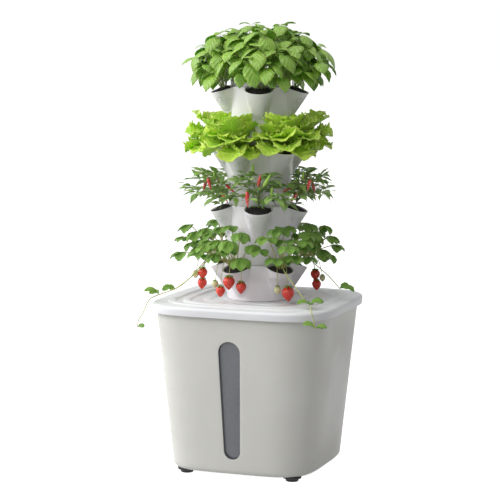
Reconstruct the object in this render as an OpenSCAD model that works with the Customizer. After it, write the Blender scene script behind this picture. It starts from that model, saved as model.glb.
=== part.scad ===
// Hydroponic tower: a square water tank with a lid, four stacked planting tiers and a pump inside.
// Origin on the tower axis at the floor, +Z up, -Y towards the level window. Millimetres.

/* [Feet] */
// Diameter of a foot's upper disc
foot_d = 43; // [30:1:48]
// Height of a foot's upper disc
foot_upper_h = 5; // [3:0.5:8]
// Diameter of a foot's lower disc
foot_lower_d = 30; // [20:1:36]
// Height of a foot's lower disc
foot_lower_h = 7; // [4:0.5:12]
// Distance of each foot's axis from the two middle planes of the tank
foot_offset = 130; // [100:1:140]

/* [Tank] */
// Half the width of the tank's outline at its top edge
tank_top_half = 211; // [200:1:214]
// Half the width of the tank's outline at its bottom
tank_bottom_half = 174; // [160:1:185]
// Height of the tank without its feet
tank_h = 386; // [360:1:420]
// Wall of the tank
tank_wall = 3; // [2:0.5:5]
// Floor of the tank
tank_floor = 4; // [3:0.5:8]
// Height of the rounding along the tank's bottom edge
tank_edge_r = 12; // [6:1:20]
// How square the outlines of the tank and the lid are
squareness = 4.5; // [3:0.1:6]

/* [Level window] */
// Width of the window's opening near its top
window_top_w = 53; // [40:1:60]
// Width of the window's opening near its bottom
window_bottom_w = 40; // [30:1:52]
// Height of the window's opening
window_h = 280; // [200:1:300]
// Height of the window's middle above the floor
window_mid_z = 188; // [180:1:200]
// Overlap of the gasket and the pane behind the wall
window_lap = 8; // [4:0.5:12]
// Thickness of the gasket
gasket_t = 2; // [1:0.25:4]
// Thickness of the pane
pane_t = 3; // [2:0.5:5]

/* [Cable grommet] */
// Diameter of the cable hole in the grommet
grommet_bore_d = 9; // [7:0.5:10]
// Diameter of the grommet's neck, which fills the hole in the tank
grommet_neck_d = 16; // [14:0.5:20]
// Diameter of the grommet's two flanges
grommet_flange_d = 24; // [22:0.5:30]
// Thickness of each flange
grommet_flange_t = 2; // [1:0.5:4]
// Distance of the grommet's middle below the tank's upper edge
grommet_drop = 46; // [40:1:90]

/* [Lid] */
// Half the width of the lid
lid_half = 220; // [218:1:230]
// Height of the lid's skirt, from its lower edge to its top face
lid_skirt_h = 20; // [14:1:30]
// Thickness of the skirt
lid_skirt_t = 3; // [2:0.5:4]
// Thickness of the lid's plate
lid_t = 4; // [3:0.5:6]
// Half widths of the three raised ridges
lid_ridge_half = [178, 148, 105]; // [100:1:190]
// Width of a ridge
lid_ridge_w = 5; // [3:0.5:8]
// Height of a ridge
lid_ridge_h = 1.8; // [1:0.2:3]
// Height of the ring that centres the lowest tier
spigot_h = 8; // [5:0.5:10]
// Wall of that ring
spigot_t = 3; // [2:0.5:5]
// Number of drain holes in the lid and in each tier's floor
drain_count = 10; // [6:1:14]
// Diameter of a drain hole
drain_d = 10; // [6:0.5:14]
// Radius of the circle of drain holes
drain_circle_r = 44; // [36:1:50]

/* [Tiers] */
// Height from one tier to the next
tier_pitch = 138; // [134:1:150]
// Height of the lowest tier's mouths above the lid's plate
first_mouth_h = 80; // [76:1:90]
// Radius of the column at the top of a tier
column_top_r = 81.7; // [80:0.1:84]
// Radius of the column at its lower end
column_end_r = 69; // [67:0.1:70]
// Height of the column's top above the middle of the mouths
column_top_h = 5; // [2:0.5:6]
// Depth to which a tier stands in the one below
nest_depth = 14; // [10:0.5:18]
// Wall of a tier
tier_wall = 2.6; // [2:0.2:3.4]
// Thickness of the seat ring and of the floor in a tier
tier_plate_t = 3; // [2:0.5:5]
// Radius of the seat ring's hole
seat_hole_r = 62; // [56:0.5:64]
// Depth of a tier's floor below the middle of its mouths
tier_floor_depth = 88; // [84:1:100]
// Clearance between a tier and what stands in it
nest_gap = 0.5; // [0.3:0.1:1]

/* [Pockets] */
// Distance of the middle of a mouth from the tower axis
mouth_r = 86; // [84:0.5:88]
// Radius of a pocket at its mouth
pocket_r = 34; // [32:0.5:35]
// Outward lean of a pocket's axis
pocket_tilt = 22; // [20:0.5:24]
// Half angle of a pocket's cone
pocket_cone = 13; // [11:0.5:14]
// Outward lean of a mouth's plane
mouth_tilt = 18; // [12:0.5:20]
// Length of a pocket's cone, from its mouth to its round end
pocket_l = 60; // [56:0.5:62]
// Depth of the ledge that carries a cup below the mouth
ledge_depth = 5; // [4:0.5:8]
// Width of that ledge
ledge_w = 2; // [1.5:0.1:3]
// Height of that ledge
ledge_h = 2; // [1.5:0.1:4]

/* [Planting cups] */
// Clearance between a cup and its pocket
cup_gap = 0.4; // [0.3:0.1:0.8]
// Clearance between a cup's flat side and the column above
cup_column_gap = 1.5; // [1:0.1:3]
// Wall of a cup
cup_wall = 1.6; // [1.2:0.1:2.5]
// Thickness of a cup's flange
cup_flange_t = 2; // [1.5:0.1:3]
// Depth of a cup's floor below the mouth
cup_depth = 56; // [50:0.5:57]
// Width of a slot in a cup
cup_slot_w = 5; // [3:0.5:7]
// Number of slots round a cup
cup_slots = 7; // [5:1:9]
// Depth of the growing medium's top below the mouth
medium_depth = 6; // [5:0.5:10]
// Clearance between the medium and its cup
medium_gap = 0.5; // [0.3:0.1:1]

/* [Cap and distributor] */
// Height of the cap's wall above the topmost tier
cap_wall_h = 9; // [5:0.5:15]
// Radius of the cap's rounded edge
cap_edge_r = 8; // [4:0.5:12]
// Thickness of the cap
cap_t = 2.5; // [2:0.1:4]
// Radius of the distributor dish
dish_r = 36; // [30:0.5:50]
// Height of the dish's edge
dish_h = 9; // [6:0.5:14]
// Wall of the dish
dish_t = 2; // [1.5:0.1:3]
// Diameter of a drip hole in the dish
drip_d = 4; // [3:0.5:6]

/* [Riser and pump] */
// Outer diameter of the riser tube
riser_d = 16; // [12:0.5:18]
// Wall of the riser tube
riser_wall = 2; // [1.5:0.1:3]
// Clearance round the riser in each bore
riser_gap = 0.5; // [0.3:0.1:1]
// Width of the collar that carries the riser on the lid
riser_collar_w = 5; // [3:0.5:8]
// Height of that collar
riser_collar_h = 4; // [3:0.5:8]
// Height of the lid's hub round the riser, above the plate
hub_h = 12; // [6:1:20]
// Wall of that hub
hub_t = 3.5; // [2:0.5:5]
// Width, depth and height of the pump
pump_size = [66, 50, 58]; // [44:1:72]
// Radius of the pump's upright edges
pump_edge_r = 8; // [4:1:12]
// Gap between the pump and the tank's floor
pump_floor_gap = 0.4; // [0.3:0.1:2]
// Thickness of the pump's inlet cover
inlet_t = 6; // [4:0.5:10]
// Width of a slot in the inlet cover
inlet_slot_w = 3; // [2:0.5:4]
// Number of slots in the inlet cover
inlet_slots = 7; // [5:1:8]
// Diameter of the pump's outlet socket
outlet_d = 26; // [24:0.5:32]
// Height of the pump's outlet socket
outlet_h = 22; // [16:1:30]

/* [Plants] */
// Height of a basil shoot above its growing medium's base
basil_h = 152; // [130:1:154]
// Size of the basil leaves
basil_leaf_l = 44; // [36:1:46]
// Size of the lettuce leaves
lettuce_leaf_l = 84; // [60:1:86]
// Size of the chili leaves
chili_leaf_l = 34; // [24:1:36]
// Length of a chili
chili_l = 34; // [24:1:36]
// Size of the strawberry leaflets
strawberry_leaf_l = 27; // [20:1:28]
// Length of a strawberry
strawberry_l = 24; // [16:1:25]

/* [Hidden] */
foot_h = foot_upper_h + foot_lower_h;
tank_top_z = foot_h + tank_h;
lid_top_z = tank_top_z + lid_t;
wall_tilt = atan((tank_top_half - tank_bottom_half) / tank_h);
outline_points = 64;
flat_share = pow(cos(180 / outline_points), 2 / squareness);
wall_depth = tank_wall * cos(wall_tilt);
grommet_z = tank_top_z - grommet_drop;
seat_slack = 0.1;

first_mouth_z = lid_top_z + first_mouth_h;
column_end_h = column_top_h - nest_depth - tier_pitch;
column_slope = (column_top_r - column_end_r) / (column_top_h - column_end_h);
seat_z = column_top_h - nest_depth;
socket_r = column_r(column_top_h - tier_pitch) + nest_gap;
pocket_count = 5;
pocket_step = 360 / pocket_count;
cut = 0.5;
reach = 200;

cup_flat_x = column_r(column_top_h - tier_pitch) + cup_column_gap;
cup_flange_in = tier_wall + cup_gap;
cup_body_in = tier_wall + ledge_w + cup_gap;
riser_r = riser_d / 2;
riser_bore_r = riser_r + riser_gap;
pump_z = foot_h + tank_floor + pump_floor_gap;
outlet_z = pump_z + pump_size[2];
riser_socket_depth = 14;
riser_top_h = 2;

$fa = 5;
$fs = 0.8;

function column_r(h) = column_top_r - (column_top_h - h) * column_slope;
function tank_half(z) = tank_bottom_half + (z - foot_h) * tan(wall_tilt);
function mouth_z(tier) = first_mouth_z + (tier - 1) * tier_pitch;
function pocket_angle(tier, i) = i * pocket_step + (tier % 2 == 0 ? 0 : pocket_step / 2);
function cone_r(t) = pocket_r - t * tan(pocket_cone);
function pocket_end_r(inset) = cone_r(pocket_l) * cos(pocket_cone) - inset;
function step_rand(k, s) = ((k * 37 + s * 17) % 11) / 10;

// Outline of a rounded square whose sides bulge a little
function rounded_square(half) = [
    for (i = [0:outline_points - 1])
        let (a = 360 * (i + 0.5) / outline_points, c = cos(a), s = sin(a))
            half * [sign(c) * pow(abs(c), 2 / squareness), sign(s) * pow(abs(s), 2 / squareness)]
];

// Outline of an upright slot with round ends, wider at its top
function slot_outline(grow) =
    let (
        rt = window_top_w / 2 + grow,
        rb = window_bottom_w / 2 + grow,
        yt = window_h / 2 + grow - rt,
        yb = rb - window_h / 2 - grow,
        lean = asin((rt - rb) / (yt - yb)),
        steps = 14
    )
    concat(
        [for (i = [0:steps]) let (a = -lean + i * (180 + 2 * lean) / steps) [rt * cos(a), yt + rt * sin(a)]],
        [for (i = [0:steps]) let (a = 180 + lean + i * (180 - 2 * lean) / steps) [rb * cos(a), yb + rb * sin(a)]]
    );

// Solid through a list of rings, each a rounded square given as [half width, height]
module loft(rings) {
    n = outline_points;
    last = len(rings) - 1;
    points = [for (r = rings, p = rounded_square(r[0])) [p[0], p[1], r[1]]];
    sides = [
        for (j = [0:last - 1], i = [0:n - 1], half = [0, 1])
            let (a = j * n + i, b = j * n + (i + 1) % n)
                half == 0 ? [a, a + n, b + n] : [a, b + n, b]
    ];
    polyhedron(points, concat([[for (i = [0:n - 1]) i]], sides, [[for (i = [n - 1:-1:0]) last * n + i]]));
}

// Places children on the tank's front wall: x to the right, y up the wall, z outwards
module on_front_wall(z) {
    translate([0, -tank_half(z) * flat_share, z]) rotate([90 + wall_tilt, 0, 0]) children();
}

module on_back_wall(z) {
    rotate([0, 0, 180]) on_front_wall(z) children();
}

module tank_inside() {
    floor_z = foot_h + tank_floor;
    loft([
        [tank_bottom_half - tank_edge_r, floor_z],
        [tank_half(floor_z + tank_edge_r / 2) - tank_wall - 1, floor_z + tank_edge_r / 2],
        [tank_half(floor_z + tank_edge_r) - tank_wall, floor_z + tank_edge_r],
        [tank_half(tank_top_z) - tank_wall, tank_top_z],
        [tank_half(tank_top_z) - tank_wall, tank_top_z + cut]
    ]);
}

module reservoir_tank() {
    color([0.90, 0.90, 0.87])
        difference() {
            loft([
                [tank_bottom_half - tank_edge_r * 0.62, foot_h],
                [tank_half(foot_h + tank_edge_r * 0.35) - tank_edge_r * 0.16, foot_h + tank_edge_r * 0.35],
                [tank_half(foot_h + tank_edge_r), foot_h + tank_edge_r],
                [tank_half(tank_top_z), tank_top_z]
            ]);
            tank_inside();
            on_front_wall(window_mid_z)
                translate([0, 0, -2 * tank_wall]) linear_extrude(4 * tank_wall) polygon(slot_outline(0));
            on_back_wall(grommet_z)
                translate([0, 0, -2 * tank_wall]) cylinder(h = 4 * tank_wall, d = grommet_neck_d);
        }
}

module window_gasket() {
    color([0.16, 0.17, 0.18])
        on_front_wall(window_mid_z)
            translate([0, 0, -wall_depth - seat_slack - gasket_t])
                linear_extrude(gasket_t)
                    difference() {
                        polygon(slot_outline(window_lap));
                        polygon(slot_outline(0));
                    }
}

module level_window() {
    color([0.41, 0.43, 0.45])
        on_front_wall(window_mid_z)
            translate([0, 0, -wall_depth - 2 * seat_slack - gasket_t - pane_t])
                linear_extrude(pane_t) polygon(slot_outline(window_lap));
}

module cable_grommet() {
    neck_l = wall_depth + 2 * seat_slack;
    color([0.08, 0.08, 0.08])
        on_back_wall(grommet_z)
            translate([0, 0, -wall_depth - seat_slack - grommet_flange_t])
                rotate_extrude()
                    polygon([
                        [grommet_bore_d / 2, 0],
                        [grommet_flange_d / 2, 0],
                        [grommet_flange_d / 2, grommet_flange_t],
                        [grommet_neck_d / 2 - seat_slack, grommet_flange_t],
                        [grommet_neck_d / 2 - seat_slack, grommet_flange_t + neck_l],
                        [grommet_flange_d / 2, grommet_flange_t + neck_l],
                        [grommet_flange_d / 2, 2 * grommet_flange_t + neck_l],
                        [grommet_bore_d / 2, 2 * grommet_flange_t + neck_l]
                    ]);
}

module foot(sx, sy) {
    color([0.06, 0.06, 0.06])
        translate([sx * foot_offset, sy * foot_offset, 0]) {
            cylinder(h = foot_lower_h, d = foot_lower_d);
            translate([0, 0, foot_lower_h]) cylinder(h = foot_upper_h, d = foot_d);
        }
}

module drain_holes(z, h) {
    for (i = [0:drain_count - 1])
        rotate([0, 0, (i + 0.5) * 360 / drain_count])
            translate([drain_circle_r, 0, z]) cylinder(h = h, d = drain_d);
}

module lid() {
    spigot_r = column_r(-first_mouth_h) - tier_wall - nest_gap;
    color([0.93, 0.94, 0.95])
        difference() {
            union() {
                translate([0, 0, tank_top_z]) linear_extrude(lid_t) polygon(rounded_square(lid_half));
                translate([0, 0, lid_top_z - lid_skirt_h])
                    linear_extrude(lid_skirt_h)
                        difference() {
                            polygon(rounded_square(lid_half));
                            polygon(rounded_square(lid_half - lid_skirt_t));
                        }
                for (half = lid_ridge_half)
                    translate([0, 0, lid_top_z - cut])
                        linear_extrude(lid_ridge_h + cut)
                            difference() {
                                polygon(rounded_square(half + lid_ridge_w / 2));
                                polygon(rounded_square(half - lid_ridge_w / 2));
                            }
                translate([0, 0, lid_top_z - cut])
                    difference() {
                        cylinder(h = spigot_h + cut, r = spigot_r);
                        translate([0, 0, -cut]) cylinder(h = spigot_h + 3 * cut, r = spigot_r - spigot_t);
                    }
                translate([0, 0, tank_top_z]) cylinder(h = lid_t + hub_h, r = riser_bore_r + hub_t);
            }
            drain_holes(tank_top_z - cut, lid_t + 2 * cut);
            translate([0, 0, tank_top_z - cut]) cylinder(h = lid_t + hub_h + 2 * cut, r = riser_bore_r);
        }
}

// Everything below the mouth's plane, lowered by a depth, within a pocket's frame
module below_mouth(depth) {
    rotate([0, mouth_tilt, 0]) translate([-reach, -reach, -2 * reach - depth]) cube(2 * reach);
}

// Slab between two depths below the mouth's plane
module mouth_slab(upper, lower) {
    rotate([0, mouth_tilt, 0]) translate([-reach, -reach, -lower]) cube([2 * reach, 2 * reach, lower - upper]);
}

// A pocket's plain cone, shrunk by an inset; its origin is the middle of the mouth
module pocket_taper(inset) {
    over = 24;
    side_in = inset / cos(pocket_cone);
    end_t = pocket_l + pocket_end_r(inset) * sin(pocket_cone);
    rotate([0, pocket_tilt, 0])
        translate([0, 0, -end_t])
            cylinder(h = end_t + over, r1 = cone_r(end_t) - side_in, r2 = cone_r(-over) - side_in);
}

// The same with its round end, turned from a profile
module pocket_form(inset) {
    over = 24;
    side_in = inset / cos(pocket_cone);
    end_r = pocket_end_r(inset);
    steps = 5;
    rotate([0, pocket_tilt, 0])
        rotate_extrude()
            polygon(concat(
                [for (i = [0:steps])
                    let (a = -90 + i * (90 - pocket_cone) / steps)
                        [end_r * cos(a), -pocket_l + end_r * sin(a)]],
                [[cone_r(-over) - side_in, over], [0, over]]
            ));
}

module each_pocket(tier) {
    for (i = [0:pocket_count - 1])
        rotate([0, 0, pocket_angle(tier, i)]) translate([mouth_r, 0, 0]) children();
}

// Space inside a tier's column, from its top down to an end height, with its seat and floor left standing
module column_space(end_h) {
    top = column_top_h + pocket_r;
    under_top = column_top_h - tier_wall;
    under_seat = seat_z - tier_plate_t;
    rotate_extrude()
        polygon([
            [0, top],
            [socket_r, top],
            [socket_r, under_top],
            [column_r(under_top) - tier_wall, under_top],
            [column_r(seat_z) - tier_wall, seat_z],
            [seat_hole_r, seat_z],
            [seat_hole_r, under_seat],
            [column_r(under_seat) - tier_wall, under_seat],
            [column_r(end_h) - tier_wall, end_h],
            [0, end_h]
        ]);
}

module tier_body(tier, end_h, floor_h) {
    difference() {
        union() {
            translate([0, 0, end_h])
                cylinder(h = column_top_h - end_h, r1 = column_r(end_h), r2 = column_top_r);
            each_pocket(tier)
                intersection() {
                    pocket_form(0);
                    below_mouth(0);
                }
        }
        column_space(floor_h);
        each_pocket(tier) pocket_form(tier_wall);
    }
}

// Ledge inside a pocket's mouth, on which a cup's flange rests
module cup_ledge() {
    front = socket_r + 8 - mouth_r;
    intersection() {
        mouth_slab(ledge_depth, ledge_depth + ledge_h);
        difference() {
            pocket_taper(tier_wall - cut);
            pocket_taper(tier_wall + ledge_w);
        }
        translate([front, -reach, -reach]) cube(2 * reach);
    }
}

module tier(tier) {
    is_first = tier == 1;
    end_h = is_first ? -first_mouth_h : column_end_h;
    floor_h = is_first ? end_h - cut : -tier_floor_depth;
    under_floor = floor_h - tier_plate_t;
    color([0.93, 0.93, 0.91])
        translate([0, 0, mouth_z(tier)]) {
            difference() {
                tier_body(tier, end_h, floor_h);
                if (!is_first) {
                    translate([0, 0, end_h - cut])
                        cylinder(
                            h = under_floor - end_h + cut,
                            r1 = column_r(end_h - cut) - tier_wall,
                            r2 = column_r(under_floor) - tier_wall
                        );
                    translate([0, 0, under_floor - cut]) cylinder(h = tier_plate_t + 2 * cut, r = riser_bore_r);
                    drain_holes(under_floor - cut, tier_plate_t + 2 * cut);
                }
            }
            each_pocket(tier) cup_ledge();
        }
}

// Side of a cup that faces the column: upright beside the column above, then along the pocket's axis
module cup_side(gap) {
    x = cup_flat_x - mouth_r + gap;
    low = 80;
    rotate([90, 0, 0])
        translate([0, 0, -reach / 2])
            linear_extrude(reach)
                polygon([
                    [x, reach / 4],
                    [x, seat_z],
                    [x - (low + seat_z) * tan(pocket_tilt), -low],
                    [reach / 2, -low],
                    [reach / 2, reach / 4]
                ]);
}

module cup(tier, i) {
    flange_top = ledge_depth - cup_flange_t;
    color([0.07, 0.07, 0.07])
        translate([0, 0, mouth_z(tier)]) rotate([0, 0, pocket_angle(tier, i)]) translate([mouth_r, 0, 0])
            difference() {
                union() {
                    intersection() {
                        pocket_taper(cup_flange_in);
                        mouth_slab(flange_top, ledge_depth);
                        cup_side(0);
                    }
                    intersection() {
                        pocket_taper(cup_body_in);
                        mouth_slab(ledge_depth - cut, cup_depth);
                        cup_side(0);
                    }
                }
                intersection() {
                    pocket_taper(cup_body_in + cup_wall);
                    mouth_slab(0, cup_depth - cup_wall);
                    cup_side(cup_wall);
                }
                for (s = [0:cup_slots - 1])
                    rotate([0, pocket_tilt, 0])
                        rotate([0, 0, -75 + 150 * s / (cup_slots - 1)])
                            translate([6, -cup_slot_w / 2, -cup_depth * 0.8])
                                cube([reach / 4, cup_slot_w, cup_depth * 0.55]);
            }
}

module top_cap() {
    outer = column_end_r;
    inner = outer - cap_t;
    top = column_top_h + cap_wall_h;
    color([0.93, 0.93, 0.91])
        translate([0, 0, mouth_z(4)])
            rotate_extrude()
                polygon(concat(
                    [[inner, seat_z], [outer, seat_z]],
                    [for (a = [0:15:90]) [outer - cap_edge_r + cap_edge_r * cos(a), top + cap_edge_r * sin(a)]],
                    [[0, top + cap_edge_r], [0, top + cap_edge_r - cap_t]],
                    [for (a = [90:-15:0])
                        [outer - cap_edge_r + (cap_edge_r - cap_t) * cos(a), top + (cap_edge_r - cap_t) * sin(a)]]
                ));
}

module distributor() {
    under_cap = column_top_h + cap_wall_h + cap_edge_r - cap_t - seat_slack;
    hub_r = riser_bore_r + dish_t;
    dish_z = riser_top_h - dish_h;
    color([0.85, 0.86, 0.86])
        translate([0, 0, mouth_z(4)])
            difference() {
                union() {
                    translate([0, 0, dish_z]) cylinder(h = dish_h, r = dish_r);
                    translate([0, 0, dish_z - 4]) cylinder(h = under_cap - dish_z + 4, r = hub_r);
                }
                translate([0, 0, dish_z + dish_t])
                    difference() {
                        cylinder(h = dish_h, r = dish_r - dish_t);
                        translate([0, 0, -cut]) cylinder(h = dish_h + 2 * cut, r = hub_r);
                    }
                translate([0, 0, dish_z - 4 - cut]) cylinder(h = riser_top_h - dish_z + 4 + 2 * cut, r = riser_bore_r);
                for (a = [0:60:300])
                    rotate([0, 0, a])
                        translate([0, 0, riser_top_h + 2]) rotate([0, 90, 0]) cylinder(h = 2 * hub_r, d = drip_d);
                for (i = [0:drain_count - 1])
                    rotate([0, 0, i * 360 / drain_count])
                        translate([dish_r * 0.72, 0, dish_z - cut]) cylinder(h = dish_t + 2 * cut, d = drip_d);
            }
}

module riser_tube() {
    start = outlet_z + outlet_h - riser_socket_depth;
    top = mouth_z(4) + riser_top_h;
    color([0.80, 0.81, 0.81])
        difference() {
            union() {
                translate([0, 0, start]) cylinder(h = top - start, r = riser_r);
                translate([0, 0, lid_top_z + hub_h]) cylinder(h = riser_collar_h, r = riser_r + riser_collar_w);
            }
            translate([0, 0, start - cut]) cylinder(h = top - start + 2 * cut, r = riser_r - riser_wall);
        }
}

module pump_block(size, edge_r) {
    linear_extrude(size[2])
        union() {
            square([size[0] - 2 * edge_r, size[1]], center = true);
            square([size[0], size[1] - 2 * edge_r], center = true);
            for (x = [-1, 1], y = [-1, 1])
                translate([x * (size[0] / 2 - edge_r), y * (size[1] / 2 - edge_r)]) circle(r = edge_r);
        }
}

module pump_body() {
    color([0.13, 0.14, 0.16])
        translate([0, 0, pump_z])
            difference() {
                pump_block(pump_size, pump_edge_r);
                translate([0, -pump_size[1] / 2, pump_size[2] / 2])
                    rotate([90, 0, 0]) cylinder(h = 24, d = 24, center = true);
            }
}

module pump_inlet_cover() {
    w = pump_size[0] - 2 * pump_edge_r;
    h = pump_size[2] - pump_edge_r;
    color([0.05, 0.05, 0.06])
        translate([0, -pump_size[1] / 2 - inlet_t, pump_z + pump_edge_r / 2])
            difference() {
                translate([-w / 2, 0, 0]) cube([w, inlet_t, h]);
                translate([-w / 2 + 3, 2, 3]) cube([w - 6, inlet_t, h - 6]);
                for (i = [0:inlet_slots - 1])
                    translate([(i - (inlet_slots - 1) / 2) * (w - 8) / inlet_slots - inlet_slot_w / 2, -cut, 6])
                        cube([inlet_slot_w, 2 + 2 * cut, h - 12]);
            }
}

module pump_outlet() {
    color([0.05, 0.05, 0.06])
        translate([0, 0, outlet_z])
            difference() {
                union() {
                    cylinder(h = 5, d = outlet_d + 6);
                    cylinder(h = outlet_h, d = outlet_d);
                }
                translate([0, 0, -cut]) cylinder(h = outlet_h + 2 * cut, r = riser_r - riser_wall);
                translate([0, 0, outlet_h - riser_socket_depth])
                    cylinder(h = riser_socket_depth + cut, r = riser_r + seat_slack);
            }
}

// Place at a share u along an arc of a given length that starts at an elevation and bends down by a droop
function arc_place(l, rise, droop, u) =
    let (k = droop * PI / 180, e = rise - droop * u)
        [l / k * (sin(rise) - sin(e)), 0, l / k * (cos(e) - cos(rise))];

// A drooping blade: widths is the half width at evenly spaced stations, fold lifts its edges
module blade(l, widths, rise, droop, fold, t) {
    last = len(widths) - 1;
    points = [
        for (i = [0:last])
            let (
                u = i / last,
                e = rise - droop * u,
                p = arc_place(l, rise, droop, u),
                n = [-sin(e), 0, cos(e)],
                w = widths[i]
            )
                each [p + [0, w, 0] + n * fold * w, p + [0, -w, 0] + n * fold * w, p - n * t]
    ];
    sides = [
        for (i = [0:last - 1], j = [0:2], half = [0, 1])
            let (a = 3 * i + j, b = 3 * i + (j + 1) % 3)
                half == 0 ? [a, a + 3, b + 3] : [a, b + 3, b]
    ];
    polyhedron(points, concat([[0, 1, 2]], sides, [[3 * last + 2, 3 * last + 1, 3 * last]]));
}

// A round tapered body along an arc, such as a fruit
module spindle(l, radii, rise, droop) {
    n = 5;
    last = len(radii) - 1;
    points = [
        for (i = [0:last], j = [0:n - 1])
            let (
                u = i / last,
                e = rise - droop * u,
                a = 360 * j / n,
                up = [-sin(e), 0, cos(e)]
            )
                arc_place(l, rise, droop, u) + radii[i] * (cos(a) * [0, 1, 0] + sin(a) * up)
    ];
    sides = [
        for (i = [0:last - 1], j = [0:n - 1], half = [0, 1])
            let (a = n * i + j, b = n * i + (j + 1) % n)
                half == 0 ? [a, a + n, b + n] : [a, b + n, b]
    ];
    polyhedron(points, concat([[for (j = [0:n - 1]) j]], sides, [[for (j = [n - 1:-1:0]) n * last + j]]));
}

module stem(p, q, r) {
    hull() {
        translate(p - [0, 0, r]) cylinder(h = 2.4 * r, r1 = 1.5 * r, r2 = 0, $fn = 3);
        translate(q - [0, 0, r]) cylinder(h = 2.2 * r, r1 = 1.4 * r, r2 = 0, $fn = 3);
    }
}

module toward(p, angle) {
    translate(p) rotate([0, 0, angle]) children();
}

module in_mouth(tier, i) {
    translate([0, 0, mouth_z(tier)]) rotate([0, 0, pocket_angle(tier, i)]) translate([mouth_r, 0, 0]) children();
}

module medium() {
    inset = cup_body_in + cup_wall + medium_gap;
    intersection() {
        pocket_taper(inset, $fn = 12);
        mouth_slab(medium_depth, cup_depth - cup_wall - medium_gap);
        cup_side(cup_wall + medium_gap);
    }
}

// Stem of a basil shoot at a height, leaning out and then back over the column
function basil_at(h) = [9 * sin(h * 1.5), 0.01 * h, -medium_depth - 2 + h];
function basil_turn(level, k, i) =
    (level % 2 == 0 ? [-86, -30, 24, 80] : [-62, -4, 56, 178])[k] + 10 * step_rand(k + level, i) - 5;

module basil(i) {
    color([0.26, 0.50, 0.16])
        in_mouth(4, i)
            union() {
                medium();
                for (s = [0:6]) stem(basil_at(s * basil_h / 7), basil_at((s + 1) * basil_h / 7 + 0.5), 1.7 - s * 0.16);
                for (level = [0:3], k = [0:3])
                    let (
                        a = basil_turn(level, k, i),
                        inner = abs(a) > 120,
                        petiole = (inner ? 6 : 12 + (30 - 4 * level) * max(0, cos(a))),
                        l = basil_leaf_l * (1 - 0.06 * level) + petiole,
                        w = basil_leaf_l * (1 - 0.06 * level),
                        mid = petiole / l
                    )
                        if (!inner || level > 1)
                            toward(basil_at(basil_h * (0.145 + 0.25 * level) + 0.7 * k), a)
                                blade(
                                    l, [0.8, mid > 0.3 ? 1.2 : 0.2 * w, 0.40 * w, 0.34 * w, 0.03 * w],
                                    46, 92 + 20 * step_rand(k, level), 0.25, 1
                                );
                toward(basil_at(basil_h - 2), 20) blade(24, [0.9, 8, 8, 0.6], 80, 40, 0.3, 1);
            }
}

module lettuce(i) {
    color([0.55, 0.72, 0.22])
        in_mouth(3, i)
            union() {
                medium();
                stem([0.3, 0.2, -medium_depth - 3], [1, 0.3, 3], 6);
                for (k = [0:7])
                    let (
                        a = -86 + 24.5 * k,
                        high = k % 2 == 1,
                        l = lettuce_leaf_l * (high ? 1.32 : 1) * (0.60 + 0.40 * cos(a)) + 6 * step_rand(k, i),
                        w = lettuce_leaf_l * (0.20 + 0.12 * cos(a))
                    ) {
                        stem([0.4 * k, 0.1 * k, -5 - 0.1 * k], [7 * cos(a), 7 * sin(a), 0.5], 1.5);
                        toward([1.2 + 2 * cos(a), 2 * sin(a), -3 - 0.13 * k], a)
                            blade(l, [3, w * 0.6, w, w * 1.05, w * 0.5], high ? 72 + 8 * cos(a) : 50, high ? 46 : 66, 0.35, 1.2);
                    }
            }
}

module chili_fruit(at, a) {
    stem(at + [0, 0, 5], at - [0, 0, 1], 0.9);
    toward(at, a)
        spindle(chili_l, [1.6, 3.4, 3.0, 0.6], -68, 30);
}

module chili(i) {
    first = [6, 0, 28];
    color([0.20, 0.40, 0.13])
        in_mouth(2, i)
            union() {
                medium();
                stem([0.3, 0, -medium_depth - 2], first + [0, 0.1, 1], 2);
                for (k = [0:4])
                    let (a = -64 + 32 * k, r = 22 + 44 * cos(a), far = [6 + r * cos(a), r * sin(a), 62 + 16 * cos(a) - 8 * (k % 2)]) {
                        stem(first + [0, 0, 0.2 * k], far, 1.2);
                        for (m = [0:1])
                            toward(first + (far - first) * (0.5 + 0.3 * m), a + (m % 2 == 0 ? 38 : -42))
                                blade(chili_leaf_l, [1, 6.6, 6.2, 0.7], 38, 70, 0.3, 1);
                        toward(far, a) blade(chili_leaf_l, [1, 6.6, 6.2, 0.7], 30, 66, 0.3, 1);
                        if (k % 2 == 0) chili_fruit(far + [4 * cos(a), 4 * sin(a), 1], a * 0.6);
                    }
            }
}

module leaf_of_three(at, a) {
    for (k = [-1:1])
        toward(at + [cos(a + 62 * k), sin(a + 62 * k), 0.2 * k - 0.3], a + 62 * k)
            blade(
                strawberry_leaf_l * (k == 0 ? 1 : 0.9),
                strawberry_leaf_l * [0.06, 0.40, 0.36, 0.06],
                22, 58, 0.3, 1
            );
}

module strawberry_fruit(p) {
    over = [p[0] * 0.75, p[1] * 0.8, 22];
    stem([8, p[1] * 0.2, -medium_depth - 1], over, 0.9);
    stem(over - [0, 0, 0.4], p - [0, 0, 1], 0.9);
    translate(p)
        spindle(strawberry_l, strawberry_l * [0.16, 0.40, 0.32, 0.06], -86, 6);
}

// A runner: a thin shoot that arches out through a list of points, with a young leaf at its end
module runner(points) {
    for (j = [0:len(points) - 2]) stem(points[j], points[j + 1], 0.9);
    leaf_of_three(points[len(points) - 1], atan2(points[1][1], points[1][0]));
}

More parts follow.
